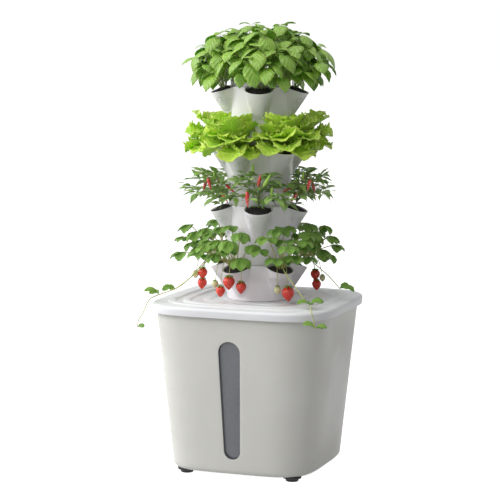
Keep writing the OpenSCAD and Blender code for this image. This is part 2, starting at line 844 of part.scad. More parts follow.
module strawberry(i) {
    color([0.24, 0.46, 0.16])
        in_mouth(1, i)
            union() {
                medium();
                for (k = [0:3])
                    let (
                        a = -72 + 48 * k,
                        r = 28 + 36 * cos(a),
                        at = [r * cos(a), r * sin(a), 66 - 6 * (k % 3) + 18 * cos(a)]
                    ) {
                        stem([1 + 5 * cos(a), 5 * sin(a), -medium_depth - 2], at, 1.1);
                        leaf_of_three(at, a);
                    }
                strawberry_fruit([50, -26, -14 - 8 * step_rand(i, 1)]);
                strawberry_fruit([56, 4, -24]);
                strawberry_fruit([48, 30, -8 - 12 * step_rand(i, 3)]);
                runner(runner_points(i));
            }
}

// Points of each plant's runner, chosen by hand in the mouth's frame
function runner_points(i) =
    [
        [[6, -4, 0], [44, -26, 26], [86, -48, 8], [104, -56, -30]],
        [[6, 4, 0], [48, 20, 24], [84, 34, 2], [96, 38, -34]],
        [[6, 4, 0], [46, 26, 26], [88, 44, 10], [108, 50, -26]],
        [[6, -4, 0], [50, -18, 30], [100, -34, 14], [124, -40, -40]],
        [[6, 4, 0], [46, 22, 26], [92, 44, 6], [112, 52, -44]]
    ][i];

reservoir_tank();
level_window();
window_gasket();
cable_grommet();
foot(-1, -1);  // foot_1
foot(1, -1);  // foot_2
foot(1, 1);  // foot_3
foot(-1, 1);  // foot_4
lid();
riser_tube();
pump_body();
pump_inlet_cover();
pump_outlet();
top_cap();
distributor();
for (t = [1:4])
    tier(t);
for (t = [1:4], i = [1:pocket_count])
    cup(t, i - 1);
for (i = [1:pocket_count]) {
    strawberry(i - 1);
    chili(i - 1);
    lettuce(i - 1);
    basil(i - 1);
}
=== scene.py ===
"""Looks of a hydroponic tower: a square water tank and lid, four planting tiers and their plants.

Sizes in the classes are millimetres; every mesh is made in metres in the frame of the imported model.
"""

from __future__ import annotations

import logging
from collections.abc import Callable, Iterable, Sequence
from dataclasses import dataclass, field
from enum import Enum
from math import asin, atan, atan2, copysign, cos, degrees, pi, radians, sin, tan, tau
from random import Random

import bmesh
import bpy
import numpy as np
from bpy.types import ID, Material, Node, NodeOutputs, NodeSocket, NodeTree, NodeTreeInterfaceSocket, Object
from mathutils import Matrix, Vector


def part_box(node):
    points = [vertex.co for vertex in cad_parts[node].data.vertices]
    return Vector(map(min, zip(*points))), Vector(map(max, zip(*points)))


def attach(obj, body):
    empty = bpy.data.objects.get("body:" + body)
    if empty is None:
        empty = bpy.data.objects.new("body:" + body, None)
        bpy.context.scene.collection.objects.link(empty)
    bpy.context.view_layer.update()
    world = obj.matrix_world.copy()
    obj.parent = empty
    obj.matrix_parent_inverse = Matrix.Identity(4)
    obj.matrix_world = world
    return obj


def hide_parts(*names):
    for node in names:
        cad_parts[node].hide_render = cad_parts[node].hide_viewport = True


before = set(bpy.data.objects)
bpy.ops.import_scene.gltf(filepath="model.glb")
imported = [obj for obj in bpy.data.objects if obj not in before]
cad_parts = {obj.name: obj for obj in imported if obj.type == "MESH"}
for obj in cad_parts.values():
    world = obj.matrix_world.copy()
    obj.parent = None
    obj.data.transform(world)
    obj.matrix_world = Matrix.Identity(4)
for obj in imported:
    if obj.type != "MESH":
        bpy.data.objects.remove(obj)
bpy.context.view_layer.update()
LOG = logging.getLogger("hydroponic_tower")
MM = 0.001

POCKETS = 5
POCKET_TURN = 360.0 / POCKETS
FRONT_HEADING = -70.26  # degrees from +X to the side that the photograph shows

Point = tuple[float, float, float]
Colour = tuple[float, float, float]
Pair = tuple[float, float]
Fruit = tuple[Point, Point, float, bool]  # place, axis, length and whether it is ripe
MADE_FINISHES: dict[str, Material] = {}
WHITE = (1.0, 1.0, 1.0, 1.0)
GREY = (0.5, 0.5, 0.5, 1.0)


# Node trees

class Graph:
    """Adds nodes and links to one node tree."""

    def __init__(self, tree: NodeTree) -> None:
        """Keeps the tree and empties it."""
        self.tree = tree
        tree.nodes.clear()

    def fill(self, node: Node, inputs: dict) -> None:
        """Puts values or sockets into a node's inputs, by name or place."""
        for key, value in inputs.items():
            if isinstance(value, NodeSocket):
                self.tree.links.new(value, node.inputs[key])
            else:
                node.inputs[key].default_value = value

    def add(self, kind: str, inputs: dict | None = None, **settings: object) -> Node:
        """Adds a node.

        Args:
            kind: the node's type.
            inputs: values or sockets for its inputs, by name or place.
            settings: the node's own properties.

        Returns:
            The node.
        """
        node = self.tree.nodes.new(kind)
        for key, value in settings.items():
            setattr(node, key, value)
        self.fill(node, inputs or {})
        return node

    def math(self, operation: str, *values: object) -> NodeSocket:
        """Adds a Math node and returns its result."""
        return self.add("ShaderNodeMath", dict(enumerate(values)), operation=operation).outputs[0]

    def times(self, *values: object) -> NodeSocket:
        """Multiplies two values."""
        return self.math("MULTIPLY", *values)

    def plus(self, *values: object) -> NodeSocket:
        """Adds two values."""
        return self.math("ADD", *values)

    def minus(self, *values: object) -> NodeSocket:
        """Subtracts the second value from the first."""
        return self.math("SUBTRACT", *values)

    def span(self, value: object, low: float, high: float, to_low: float, to_high: float) -> NodeSocket:
        """Adds a smooth Map Range node and returns its result."""
        places = {0: value, 1: low, 2: high, 3: to_low, 4: to_high}
        return self.add("ShaderNodeMapRange", places, interpolation_type="SMOOTHSTEP").outputs[0]

    def where(self) -> NodeSocket:
        """Returns the place in the object's own coordinates."""
        return self.add("ShaderNodeTexCoord").outputs["Object"]

    def tone(self) -> NodeSocket:
        """Returns the mesh's tone attribute."""
        return self.add("ShaderNodeAttribute", attribute_name="tone").outputs["Fac"]

    def noise(self, where: object, scale: object, detail: float = 3.0, rough: float = 0.5) -> NodeSocket:
        """Adds a Noise Texture and returns its factor."""
        places = {"Vector": where, "Scale": scale, "Detail": detail, "Roughness": rough}
        return self.add("ShaderNodeTexNoise", places).outputs["Fac"]

    def cells(self, where: object, scale: object) -> NodeSocket:
        """Adds a Voronoi Texture and returns the distance from its nearest point."""
        return self.add("ShaderNodeTexVoronoi", {"Vector": where, "Scale": scale}).outputs["Distance"]

    def blend(self, share: object, first: object, second: object) -> NodeSocket:
        """Adds a colour Mix node and returns its colour."""
        places = {0: share, 6: first, 7: second}
        colours = {key: (*value, 1.0) if isinstance(value, tuple) else value for key, value in places.items()}
        return self.add("ShaderNodeMix", colours, data_type="RGBA", clamp_factor=True).outputs[2]


@dataclass(frozen=True)
class Effect:
    """A shader node group with named inputs and outputs, built once."""

    name: str
    inputs: tuple[tuple[str, float], ...]
    outputs: tuple[str, ...]
    build: Callable[[Graph, NodeOutputs], dict]

    def tree(self) -> NodeTree:
        """Returns the group's tree, and builds it at the first call."""
        found = bpy.data.node_groups.get(self.name)
        if found:
            return found
        tree = bpy.data.node_groups.new(self.name, "ShaderNodeTree")
        for label, value in self.inputs:
            socket = tree.interface.new_socket(label, in_out="INPUT", socket_type="NodeSocketFloat")
            socket.default_value = value
        for label in self.outputs:
            tree.interface.new_socket(label, in_out="OUTPUT", socket_type="NodeSocketFloat")
        graph = Graph(tree)
        given, result = graph.add("NodeGroupInput"), graph.add("NodeGroupOutput")
        graph.fill(result, self.build(graph, given.outputs))
        return tree

    def place(self, graph: Graph, **values: object) -> NodeOutputs:
        """Adds the group to a material.

        Args:
            graph: the material's graph.
            values: the group's inputs, with spaces written as underscores.

        Returns:
            The group node's outputs.
        """
        inputs = {key.replace("_", " "): value for key, value in values.items()}
        return graph.add("ShaderNodeGroup", inputs, node_tree=self.tree()).outputs


def _moulded_skin(graph: Graph, given: NodeOutputs) -> dict:
    """Fine grain and slow cloudiness of moulded plastic."""
    where = graph.where()
    grain = graph.noise(where, given["Grain scale"], 2.0)
    cloud = graph.noise(where, given["Cloud scale"], 4.0, 0.6)
    waves = graph.noise(where, graph.times(given["Cloud scale"], 3.1), 2.0)
    shade = graph.times(graph.span(cloud, 0.3, 0.7, 0.0, 1.0), given["Cloud amount"])
    fine = graph.times(graph.minus(grain, 0.5), given["Grain depth"])
    broad = graph.times(waves, given["Wave depth"])
    return {"Shade": shade, "Polish": graph.times(waves, shade), "Height": graph.plus(fine, broad)}


def _settled_dust(graph: Graph, given: NodeOutputs) -> dict:
    """Dust and dried splashes on faces that look up."""
    where = graph.where()
    normal = graph.add("ShaderNodeNewGeometry").outputs["Normal"]
    up = graph.add("ShaderNodeSeparateXYZ", {"Vector": normal}).outputs["Z"]
    patch = graph.span(graph.noise(where, given["Scale"], 5.0, 0.65), 0.45, 0.75, 0.0, 1.0)
    facing = graph.span(up, 0.2, 0.95, 0.0, 1.0)
    spot = graph.span(graph.cells(where, 260.0), 0.05, 0.13, 1.0, 0.0)
    both = graph.math("MAXIMUM", graph.times(patch, facing), graph.times(spot, 0.35))
    return {"Mask": graph.times(both, given["Amount"])}


def _leaf_veins(graph: Graph, given: NodeOutputs) -> dict:
    """Midrib and side veins from a leaf's own UV map: u across the blade, v along it."""
    uv = graph.add("ShaderNodeUVMap", uv_map="blade").outputs["UV"]
    split = graph.add("ShaderNodeSeparateXYZ", {"Vector": uv}).outputs
    side = graph.math("ABSOLUTE", graph.minus(graph.times(split["X"], 2.0), 1.0))
    along = split["Y"]
    rib = graph.span(side, 0.0, given["Rib width"], 1.0, 0.0)
    bent = graph.times(graph.math("POWER", side, 0.8), given["Slope"])
    phase = graph.math("FRACT", graph.times(graph.minus(along, bent), given["Count"]))
    off = graph.math("ABSOLUTE", graph.minus(phase, 0.5))
    branch = graph.times(graph.span(off, 0.38, 0.5, 0.0, 1.0), graph.span(side, 0.75, 1.0, 1.0, 0.0))
    swell = graph.times(graph.span(off, 0.0, 0.5, 1.0, 0.0), given["Quilt"])
    vein = graph.math("MAXIMUM", rib, graph.times(branch, 0.55))
    return {"Vein": vein, "Height": graph.minus(swell, graph.times(rib, 0.6)), "Side": side, "Along": along}


MOULDED_SKIN = Effect(
    "moulded_skin",
    (("Grain scale", 900.0), ("Grain depth", 0.1), ("Cloud scale", 8.0), ("Cloud amount", 1.0), ("Wave depth", 0.0)),
    ("Shade", "Polish", "Height"),
    _moulded_skin,
)
SETTLED_DUST = Effect("settled_dust", (("Amount", 0.3), ("Scale", 25.0)), ("Mask",), _settled_dust)
LEAF_VEINS = Effect(
    "leaf_veins",
    (("Rib width", 0.08), ("Slope", 0.2), ("Count", 7.0), ("Quilt", 0.5)),
    ("Vein", "Height", "Side", "Along"),
    _leaf_veins,
)


# Finishes

def _new_material(name: str) -> tuple[Material, Graph, Node]:
    """Makes a material with a Principled shader on its output.

    Args:
        name: the material's name.

    Returns:
        The material, its graph and the shader node.
    """
    material = bpy.data.materials.new(f"{name}_finish")
    material.use_nodes = True
    graph = Graph(material.node_tree)
    shader = graph.add("ShaderNodeBsdfPrincipled")
    graph.add("ShaderNodeOutputMaterial", {"Surface": shader.outputs[0]})
    return material, graph, shader


def _dress(
    graph: Graph, shader: Node, surface: tuple, bump: Pair, coat: Pair, glow: tuple[float, Colour, float]
) -> None:
    """Gives a shader its surface, relief, coat and inner light.

    Args:
        graph: the material's graph.
        shader: its Principled shader.
        surface: sockets of the colour, the roughness and the height.
        bump: strength and distance of the relief.
        coat: weight and roughness of the coat.
        glow: weight, radius and scale of the light that passes inside.
    """
    colour, rough, height = surface
    relief = graph.add("ShaderNodeBump", {"Height": height, "Strength": bump[0], "Distance": bump[1]})
    names = ("Coat Weight", "Coat Roughness", "Subsurface Weight", "Subsurface Radius", "Subsurface Scale")
    values = {"Base Color": colour, "Roughness": rough, "Normal": relief.outputs[0]}
    graph.fill(shader, values | dict(zip(names, (*coat, *glow))))


@dataclass(frozen=True)
class Plastic:
    """Moulded plastic or rubber."""

    name: str
    colour: Colour
    shade: Colour
    roughness: float = 0.35
    rough_swing: float = 0.08
    coat: float = 0.0
    grain_scale: float = 900.0
    grain_depth: float = 0.15
    wave_depth: float = 0.0
    dust: float = 0.1
    sheen_through: float = 0.0
    dust_colour: Colour = (0.62, 0.60, 0.55)

    def make(self) -> Material:
        """Returns the material."""
        material, graph, shader = _new_material(self.name)
        skin = MOULDED_SKIN.place(
            graph, Grain_scale=self.grain_scale, Grain_depth=self.grain_depth, Wave_depth=self.wave_depth
        )
        mask = SETTLED_DUST.place(graph, Amount=self.dust)["Mask"]
        tone = graph.blend(mask, graph.blend(skin["Shade"], self.colour, self.shade), self.dust_colour)
        rough = graph.span(skin["Polish"], 0.0, 0.6, self.roughness, self.roughness + self.rough_swing)
        dusty = graph.math("MAXIMUM", rough, graph.times(mask, 0.8))
        glow = (self.sheen_through, (0.6, 0.5, 0.4), 0.004)
        _dress(graph, shader, (tone, dusty, skin["Height"]), (0.5, 0.0004), (self.coat, 0.12), glow)
        return material


@dataclass(frozen=True)
class Leaf:
    """A leaf blade with its ribs, quilting and thin translucent edge."""

    name: str
    young: Colour
    old: Colour
    vein: Colour
    glow: float = 0.25
    roughness: float = 0.36
    coat: float = 0.15
    rib_width: float = 0.07
    vein_count: float = 7.0
    vein_slope: float = 0.22
    quilt: float = 0.6
    relief: float = 0.0007
    edge_light: float = 0.0
    base_pale: float = 0.0

    def make(self) -> Material:
        """Returns the material."""
        material, graph, shader = _new_material(self.name)
        veins = LEAF_VEINS.place(
            graph, Rib_width=self.rib_width, Slope=self.vein_slope, Count=self.vein_count, Quilt=self.quilt
        )
        where = graph.where()
        mottle = graph.noise(where, 120.0, 4.0, 0.6)
        age = graph.plus(graph.times(graph.tone(), 0.75), graph.times(mottle, 0.35))
        edge = graph.times(graph.span(veins["Side"], 0.55, 1.0, 0.0, 1.0), self.edge_light)
        foot = graph.times(graph.span(veins["Along"], 0.0, 0.75, 1.0, 0.0), self.base_pale)
        behind = graph.add("ShaderNodeNewGeometry").outputs["Backfacing"]
        tone = graph.blend(edge, graph.blend(age, self.young, self.old), self.young)
        for share in (foot, graph.times(veins["Vein"], 0.7), graph.times(behind, 0.35)):
            tone = graph.blend(share, tone, self.vein)
        height = graph.plus(veins["Height"], graph.times(graph.noise(where, 700.0, 2.0), 0.25))
        rough = graph.span(mottle, 0.3, 0.7, self.roughness - 0.05, self.roughness + 0.1)
        glow = (self.glow, (0.5, 1.0, 0.12), 0.003)
        _dress(graph, shader, (tone, rough, height), (0.8, self.relief), (self.coat, 0.3), glow)
        return material


@dataclass(frozen=True)
class Flesh:
    """Skin of a stem, fruit, flower or granule, with a colour that wanders."""

    name: str
    colour: Colour
    other: Colour
    roughness: float = 0.4
    scale: float = 90.0
    pits: float = 0.0
    pit_scale: float = 420.0
    pit_colour: Colour = (0.75, 0.55, 0.15)
    coat: float = 0.0
    glow: float = 0.0

    def make(self) -> Material:
        """Returns the material."""
        material, graph, shader = _new_material(self.name)
        where = graph.where()
        cloud = graph.noise(where, self.scale, 4.0, 0.6)
        share = graph.plus(graph.times(graph.tone(), 0.6), graph.span(cloud, 0.35, 0.7, 0.0, 0.5))
        pit = graph.times(graph.span(graph.cells(where, self.pit_scale), 0.12, 0.30, 1.0, 0.0), self.pits)
        tone = graph.blend(pit, graph.blend(share, self.colour, self.other), self.pit_colour)
        rise = graph.minus(graph.times(cloud, 0.3), pit)
        rough = graph.span(cloud, 0.3, 0.7, self.roughness - 0.04, self.roughness + 0.12)
        glow = (self.glow, (1.0, 0.4, 0.2), 0.003)
        _dress(graph, shader, (tone, rough, rise), (0.7, 0.0008), (self.coat, 0.1), glow)
        return material


class Finish(Enum):
    """Every finish of the object."""

    TANK = Plastic(
        "tank_plastic", (0.69, 0.685, 0.645), (0.66, 0.655, 0.615),
        0.42, 0.1, 0.0, 700.0, 0.5, 0.6, 0.04, 0.1,
    )
    LID = Plastic(
        "lid_plastic", (0.80, 0.805, 0.825), (0.78, 0.785, 0.805),
        0.36, 0.06, 0.0, 500.0, 0.03, 0.0, 0.03, 0.1,
    )
    TIER = Plastic(
        "tier_plastic", (0.91, 0.885, 0.92), (0.885, 0.86, 0.895),
        0.30, 0.1, 0.1, 800.0, 0.1, 0.04, 0.03, 0.15,
    )
    WINDOW = Plastic(
        "window_plastic", (0.135, 0.145, 0.165), (0.115, 0.125, 0.14),
        0.22, 0.1, 0.3, 600.0, 0.1, 0.5, 0.03,
    )
    GASKET = Plastic("gasket_rubber", (0.05, 0.052, 0.055), (0.035, 0.036, 0.04), 0.6, 0.1)
    RUBBER = Plastic("foot_rubber", (0.012, 0.012, 0.013), (0.02, 0.02, 0.02), 0.55, 0.15, 0.0, 500.0, 0.6, 0.0, 0.12)
    CUP = Plastic("cup_plastic", (0.015, 0.015, 0.016), (0.022, 0.022, 0.022), 0.45, 0.15, 0.0, 700.0, 0.4, 0.0, 0.12)
    PIPE = Plastic("pipe_plastic", (0.66, 0.67, 0.66), (0.60, 0.61, 0.60), 0.38)
    PUMP = Plastic("pump_plastic", (0.03, 0.033, 0.04), (0.045, 0.048, 0.055), 0.42, 0.12, 0.0, 600.0, 0.5)
    PUMP_TRIM = Plastic("pump_trim", (0.012, 0.012, 0.014), (0.02, 0.02, 0.022), 0.5, 0.1, 0.0, 600.0, 0.5)
    GRANULE = Flesh("medium_granules", (0.010, 0.009, 0.010), (0.035, 0.030, 0.028), 0.6, 300.0)
    BASIL = Leaf(
        "basil_leaf", (0.24, 0.45, 0.03), (0.11, 0.26, 0.015), (0.34, 0.53, 0.09), 0.3, 0.38, 0.1,
        0.06, 6.0, 0.3, 1.0, 0.0011,
    )
    LETTUCE = Leaf(
        "lettuce_leaf", (0.60, 0.90, 0.05), (0.25, 0.55, 0.012), (0.70, 0.90, 0.20), 0.35, 0.42, 0.1,
        0.08, 9.0, 0.35, 0.8, 0.0012, 0.45, 0.2,
    )
    CHILI = Leaf(
        "chili_leaf", (0.26, 0.42, 0.08), (0.10, 0.22, 0.04), (0.34, 0.48, 0.16), 0.2, 0.4, 0.12, 0.10, 6.0, 0.3
    )
    STRAWBERRY = Leaf(
        "strawberry_leaf", (0.20, 0.42, 0.035), (0.06, 0.19, 0.015), (0.34, 0.54, 0.12), 0.2, 0.46, 0.03,
        0.07, 7.0, 0.45, 1.0, 0.0013,
    )
    BASIL_STEM = Flesh("basil_stem", (0.42, 0.52, 0.20), (0.30, 0.42, 0.12), 0.45, glow=0.2)
    CHILI_STEM = Flesh("chili_stem", (0.22, 0.33, 0.10), (0.30, 0.26, 0.12), 0.5)
    STRAWBERRY_STEM = Flesh("strawberry_stem", (0.48, 0.52, 0.16), (0.50, 0.40, 0.16), 0.5)
    RED_CHILI = Flesh("red_chili", (0.78, 0.025, 0.008), (0.50, 0.010, 0.006), 0.14, 60.0, coat=0.6, glow=0.1)
    GREEN_CHILI = Flesh("green_chili", (0.42, 0.66, 0.06), (0.25, 0.50, 0.04), 0.16, 60.0, coat=0.5, glow=0.1)
    RED_BERRY = Flesh(
        "red_strawberry", (0.78, 0.030, 0.012), (0.56, 0.010, 0.012), 0.28, 60.0, 0.8, 520.0, coat=0.2, glow=0.1
    )
    PALE_BERRY = Flesh("pale_strawberry", (0.62, 0.66, 0.34), (0.72, 0.60, 0.36), 0.35, 60.0, 0.8, 520.0, glow=0.1)
    PETAL = Flesh("strawberry_petal", (0.86, 0.86, 0.80), (0.80, 0.82, 0.66), 0.5, glow=0.2)

    def made(self) -> Material:
        """Returns the finish's material, and makes it at the first call."""
        if self.name not in MADE_FINISHES:
            MADE_FINISHES[self.name] = self.value.make()
        return MADE_FINISHES[self.name]


# Meshes

def linked(name: str, data: ID) -> Object:
    """Makes an object of some data and puts it in the scene."""
    made = bpy.data.objects.new(name, data)
    bpy.context.scene.collection.objects.link(made)
    return made


@dataclass
class Shape:
    """Points, faces, UVs and finishes of a mesh that is being put together, in millimetres."""

    points: list[Point] = field(default_factory=list)
    faces: list[tuple[int, ...]] = field(default_factory=list)
    uvs: list[tuple[Pair, ...]] = field(default_factory=list)
    finish_of: list[Finish] = field(default_factory=list)
    tones: list[float] = field(default_factory=list)

    def grid(
        self,
        rows: Sequence[Sequence[Sequence[float]]],
        finish: Finish,
        closed: bool = False,
        capped: bool = False,
        tone: float = 0.5,
    ) -> None:
        """Adds a sheet or tube of quads through rows of points.

        Args:
            rows: rows of equal length.
            finish: the finish of its faces.
            closed: joins the end of each row to its start.
            capped: fans the first and last rows shut.
            tone: the value of the tone attribute.
        """
        start, count, across = len(self.points), len(rows), len(rows[0])
        for row in rows:
            self.points.extend(tuple(point) for point in row)
        self.tones.extend([tone] * (count * across))
        last = across if closed else across - 1
        for i in range(count - 1):
            for j in range(last):
                a, b = start + i * across + j, start + i * across + (j + 1) % across
                self.faces.append((a, b, b + across, a + across))
                u0, u1, v0, v1 = j / last, (j + 1) / last, i / (count - 1), (i + 1) / (count - 1)
                self.uvs.append(((u0, v0), (u1, v0), (u1, v1), (u0, v1)))
                self.finish_of.append(finish)
        if capped:
            ends = ((start, True), (start + (count - 1) * across, False))
            for first, flipped in ends:
                ring = [first + j for j in range(across)]
                self.faces.append(tuple(reversed(ring)) if flipped else tuple(ring))
                self.uvs.append(tuple((0.5, 0.5) for _ in ring))
                self.finish_of.append(finish)

    def add(self, points: Iterable[Sequence[float]], faces: Iterable[Sequence[int]], finish: Finish) -> None:
        """Adds loose faces over new points."""
        start = len(self.points)
        fresh = [tuple(float(value) for value in point) for point in points]
        self.points.extend(fresh)
        self.tones.extend([0.5] * len(fresh))
        for face in faces:
            self.faces.append(tuple(start + int(index) for index in face))
            self.uvs.append(tuple((0.5, 0.5) for _ in face))
            self.finish_of.append(finish)

    def moved(self, matrix: Matrix, since: int = 0) -> None:
        """Moves the points from a given index on."""
        for index in range(since, len(self.points)):
            self.points[index] = tuple(matrix @ Vector(self.points[index]))

    def built(self, name: str, smooth: bool = True) -> Object:
        """Makes the object.

        Args:
            name: the object's name.
            smooth: shades its faces smooth.

        Returns:
            The object, in metres.
        """
        mesh = bpy.data.meshes.new(name)
        mesh.from_pydata((np.array(self.points) * MM).tolist(), [], self.faces)
        palette = list(dict.fromkeys(self.finish_of))
        for finish in palette:
            mesh.materials.append(finish.made())
        mesh.polygons.foreach_set("material_index", [palette.index(finish) for finish in self.finish_of])
        mesh.polygons.foreach_set("use_smooth", [smooth] * len(self.faces))
        layer = mesh.uv_layers.new(name="blade")
        layer.data.foreach_set("uv", [value for face in self.uvs for corner in face for value in corner])
        tone = mesh.attributes.new("tone", "FLOAT", "POINT")
        tone.data.foreach_set("value", self.tones)
        mesh.validate()
        return linked(name, mesh)


def soften(piece: Object, width: float, segments: int = 2, angle: float = 40.0) -> None:
    """Rounds a piece's sharp edges and applies the result.

    Args:
        piece: the object.
        width: width of the rounding in millimetres.
        segments: number of faces across it.
        angle: smallest angle between faces that is rounded, in degrees.
    """
    bevel = piece.modifiers.new("rounding", "BEVEL")
    bevel.width = width * MM
    bevel.segments = segments
    bevel.limit_method = "ANGLE"
    bevel.angle_limit = radians(angle)
    apply_modifiers(piece)


def apply_modifiers(piece: Object) -> None:
    """Replaces a piece's mesh by its evaluated one and removes its modifiers."""
    graph = bpy.context.evaluated_depsgraph_get()
    mesh = bpy.data.meshes.new_from_object(piece.evaluated_get(graph), depsgraph=graph)
    piece.modifiers.clear()
    piece.data = mesh


def cut_by(piece: Object, cutters: Sequence[Object]) -> None:
    """Subtracts the cutters from a piece and deletes them."""
    for cutter in cutters:
        cut = piece.modifiers.new("cut", "BOOLEAN")
        cut.operation = "DIFFERENCE"
        cut.solver = "EXACT"
        cut.object = cutter
    apply_modifiers(piece)
    for cutter in cutters:
        bpy.data.objects.remove(cutter, do_unlink=True)


def crease(piece: Object, angle: float = 35.0) -> None:
    """Shades a piece smooth, with hard lines where its faces meet at more than an angle in degrees."""
    mesh = piece.data
    mesh.polygons.foreach_set("use_smooth", [True] * len(mesh.polygons))
    mesh.set_sharp_from_angle(angle=radians(angle))


def merge_doubles(piece: Object, distance: float = 1e-6, outwards: bool = True) -> None:
    """Merges a piece's coincident points and, unless told otherwise, turns its faces outwards."""
    shape = bmesh.new()
    shape.from_mesh(piece.data)
    bmesh.ops.remove_doubles(shape, verts=shape.verts, dist=distance)
    if outwards:
        bmesh.ops.recalc_face_normals(shape, faces=shape.faces)
    shape.to_mesh(piece.data)
    shape.free()


def merged_copy(node: str, name: str, finish: Finish, angle: float = 30.0) -> Object:
    """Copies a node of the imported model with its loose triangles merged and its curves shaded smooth.

    Args:
        node: the node's name.
        name: the new piece's name.
        finish: its finish.
        angle: smallest angle that stays a hard edge, in degrees.

    Returns:
        The piece, which replaces the node.
    """
    piece = linked(name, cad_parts[node].data.copy())
    merge_doubles(piece, outwards=False)
    mesh = piece.data
    mesh.materials.clear()
    mesh.materials.append(finish.made())
    mesh.polygons.foreach_set("material_index", [0] * len(mesh.polygons))
    crease(piece, angle)
    return piece


def settle(piece: Object, body: str, slot: str, *nodes: str) -> None:
    """Puts a finished piece on its body.

    Args:
        piece: the piece.
        body: the body that it moves with.
        slot: not used.
        nodes: nodes that it stands for.
    """
    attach(piece, body)
    if nodes:
        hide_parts(*nodes)
    LOG.info("%s rides on %s with %d faces", piece.name, body, len(piece.data.polygons))


def turned(shape: Shape, profile: Sequence[Pair], finish: Finish, sides: int = 96) -> None:
    """Adds a closed profile of radius and height turned about the axis.

    Args:
        shape: the shape to add to.
        profile: corners of the profile, anticlockwise with the radius to the right.
        finish: the finish.
        sides: number of faces round the axis.
    """
    turns = np.linspace(0.0, 2.0 * pi, sides, endpoint=False)
    rows = [[(r * cos(a), r * sin(a), z) for a in turns] for r, z in profile]
    if profile[0] != profile[-1] and profile[0][0] > 0.001:
        rows.append(rows[0])
    shape.grid(rows, finish, closed=True)


def rounded(corners: Sequence[Point], steps: int = 4) -> list[Pair]:
    """Rounds the corners of a profile.

    Args:
        corners: radius, height and rounding of each corner.
        steps: faces across each rounding.

    Returns:
        The profile's points.
    """
    result: list[Pair] = []
    count = len(corners)
    for index, (x, y, size) in enumerate(corners):
        before, here, after = Vector(corners[index - 1][:2]), Vector((x, y)), Vector(corners[(index + 1) % count][:2])
        if size <= 0.0:
            result.append((x, y))
            continue
        start = here + (before - here).normalized() * size
        end = here + (after - here).normalized() * size
        for step in range(steps + 1):
            t = step / steps
            point = start * (1 - t) ** 2 + here * 2 * t * (1 - t) + end * t**2
            result.append((point.x, point.y))
    return result


# Tank, lid and fittings

def square_outline(half: float, squareness: float, count: int) -> np.ndarray:
    """Points of a rounded square whose sides bulge a little, closer together round its corners.

    Args:
        half: half its width.
        squareness: exponent of the outline, 2 for a circle.
        count: number of points, a multiple of 8.

    Returns:
        The points, anticlockwise from the +X side.
    """
    turns = np.linspace(0.0, pi / 4, 4001)
    dense = np.stack([np.cos(turns) ** (2 / squareness), np.sin(turns) ** (2 / squareness)], axis=1)
    steps = np.diff(dense, axis=0)
    length = np.hypot(steps[:, 0], steps[:, 1])
    heading = np.unwrap(np.arctan2(steps[:, 1], steps[:, 0]))
    swing = np.abs(np.diff(heading, append=heading[-1]))
    weight = np.concatenate([[0.0], np.cumsum(length / length.sum() + 1.2 * swing / max(swing.sum(), 1e-9))])
    places = np.linspace(0.0, weight[-1], count // 8 + 1)
    eighth = np.stack([np.interp(places, weight, dense[:, axis]) for axis in (0, 1)], axis=1)
    quarter = np.concatenate([eighth, eighth[-2::-1, ::-1]])[:-1]
    rings = [quarter]
    for _ in range(3):
        last = rings[-1]
        rings.append(np.stack([-last[:, 1], last[:, 0]], axis=1))
    return half * np.concatenate(rings)


def square_rows(rings: Sequence[Point], count: int = 192) -> list[list[Point]]:
    """Rows of points round rounded squares, each given by its half width, height and squareness."""
    return [[(x, y, z) for x, y in square_outline(half, squareness, count)] for half, z, squareness in rings]


def quarter_turn(angles: Iterable[int]) -> list[Pair]:
    """Steps of a quarter turn: one less its cosine, and one less its sine, at each angle in degrees."""
    return [(1 - cos(radians(angle)), 1 - sin(radians(angle))) for angle in angles]


@dataclass
class Drains:
    """Ring of drain holes round the riser's bore."""

    count: int = 10
    radius: float = 5.0
    circle: float = 44.0

    def drill(self, piece: Object, low: float, high: float, finish: Finish) -> None:
        """Cuts the holes out of a piece between two heights."""
        cutters = []
        for index in range(self.count):
            a = tau * (index + 0.5) / self.count
            cutter = Shape()
            turned(cutter, [(0.001, low), (self.radius, low), (self.radius, high), (0.001, high)], finish, 32)
            cutter.moved(Matrix.Translation((self.circle * cos(a), self.circle * sin(a), 0)))
            hole = cutter.built("drain_cutter")
            merge_doubles(hole, 2e-6)
            cutters.append(hole)
        cut_by(piece, cutters)


@dataclass
class Slot:
    """Upright slot with round ends, wider at its top."""

    top_width: float = 53.0
    bottom_width: float = 40.0
    height: float = 280.0

    def outline(self, grow: float = 0.0, steps: int = 24) -> list[Pair]:
        """Returns the outline's points, grown by an amount."""
        rt, rb = self.top_width / 2 + grow, self.bottom_width / 2 + grow
        yt, yb = self.height / 2 + grow - rt, rb - self.height / 2 - grow
        lean = asin((rt - rb) / (yt - yb))
        upper = [-lean + i * (pi + 2 * lean) / steps for i in range(steps + 1)]
        lower = [pi + lean + i * (pi - 2 * lean) / steps for i in range(steps + 1)]
        points = [(rt * cos(a), yt + rt * sin(a)) for a in upper]
        return points + [(rb * cos(a), yb + rb * sin(a)) for a in lower]


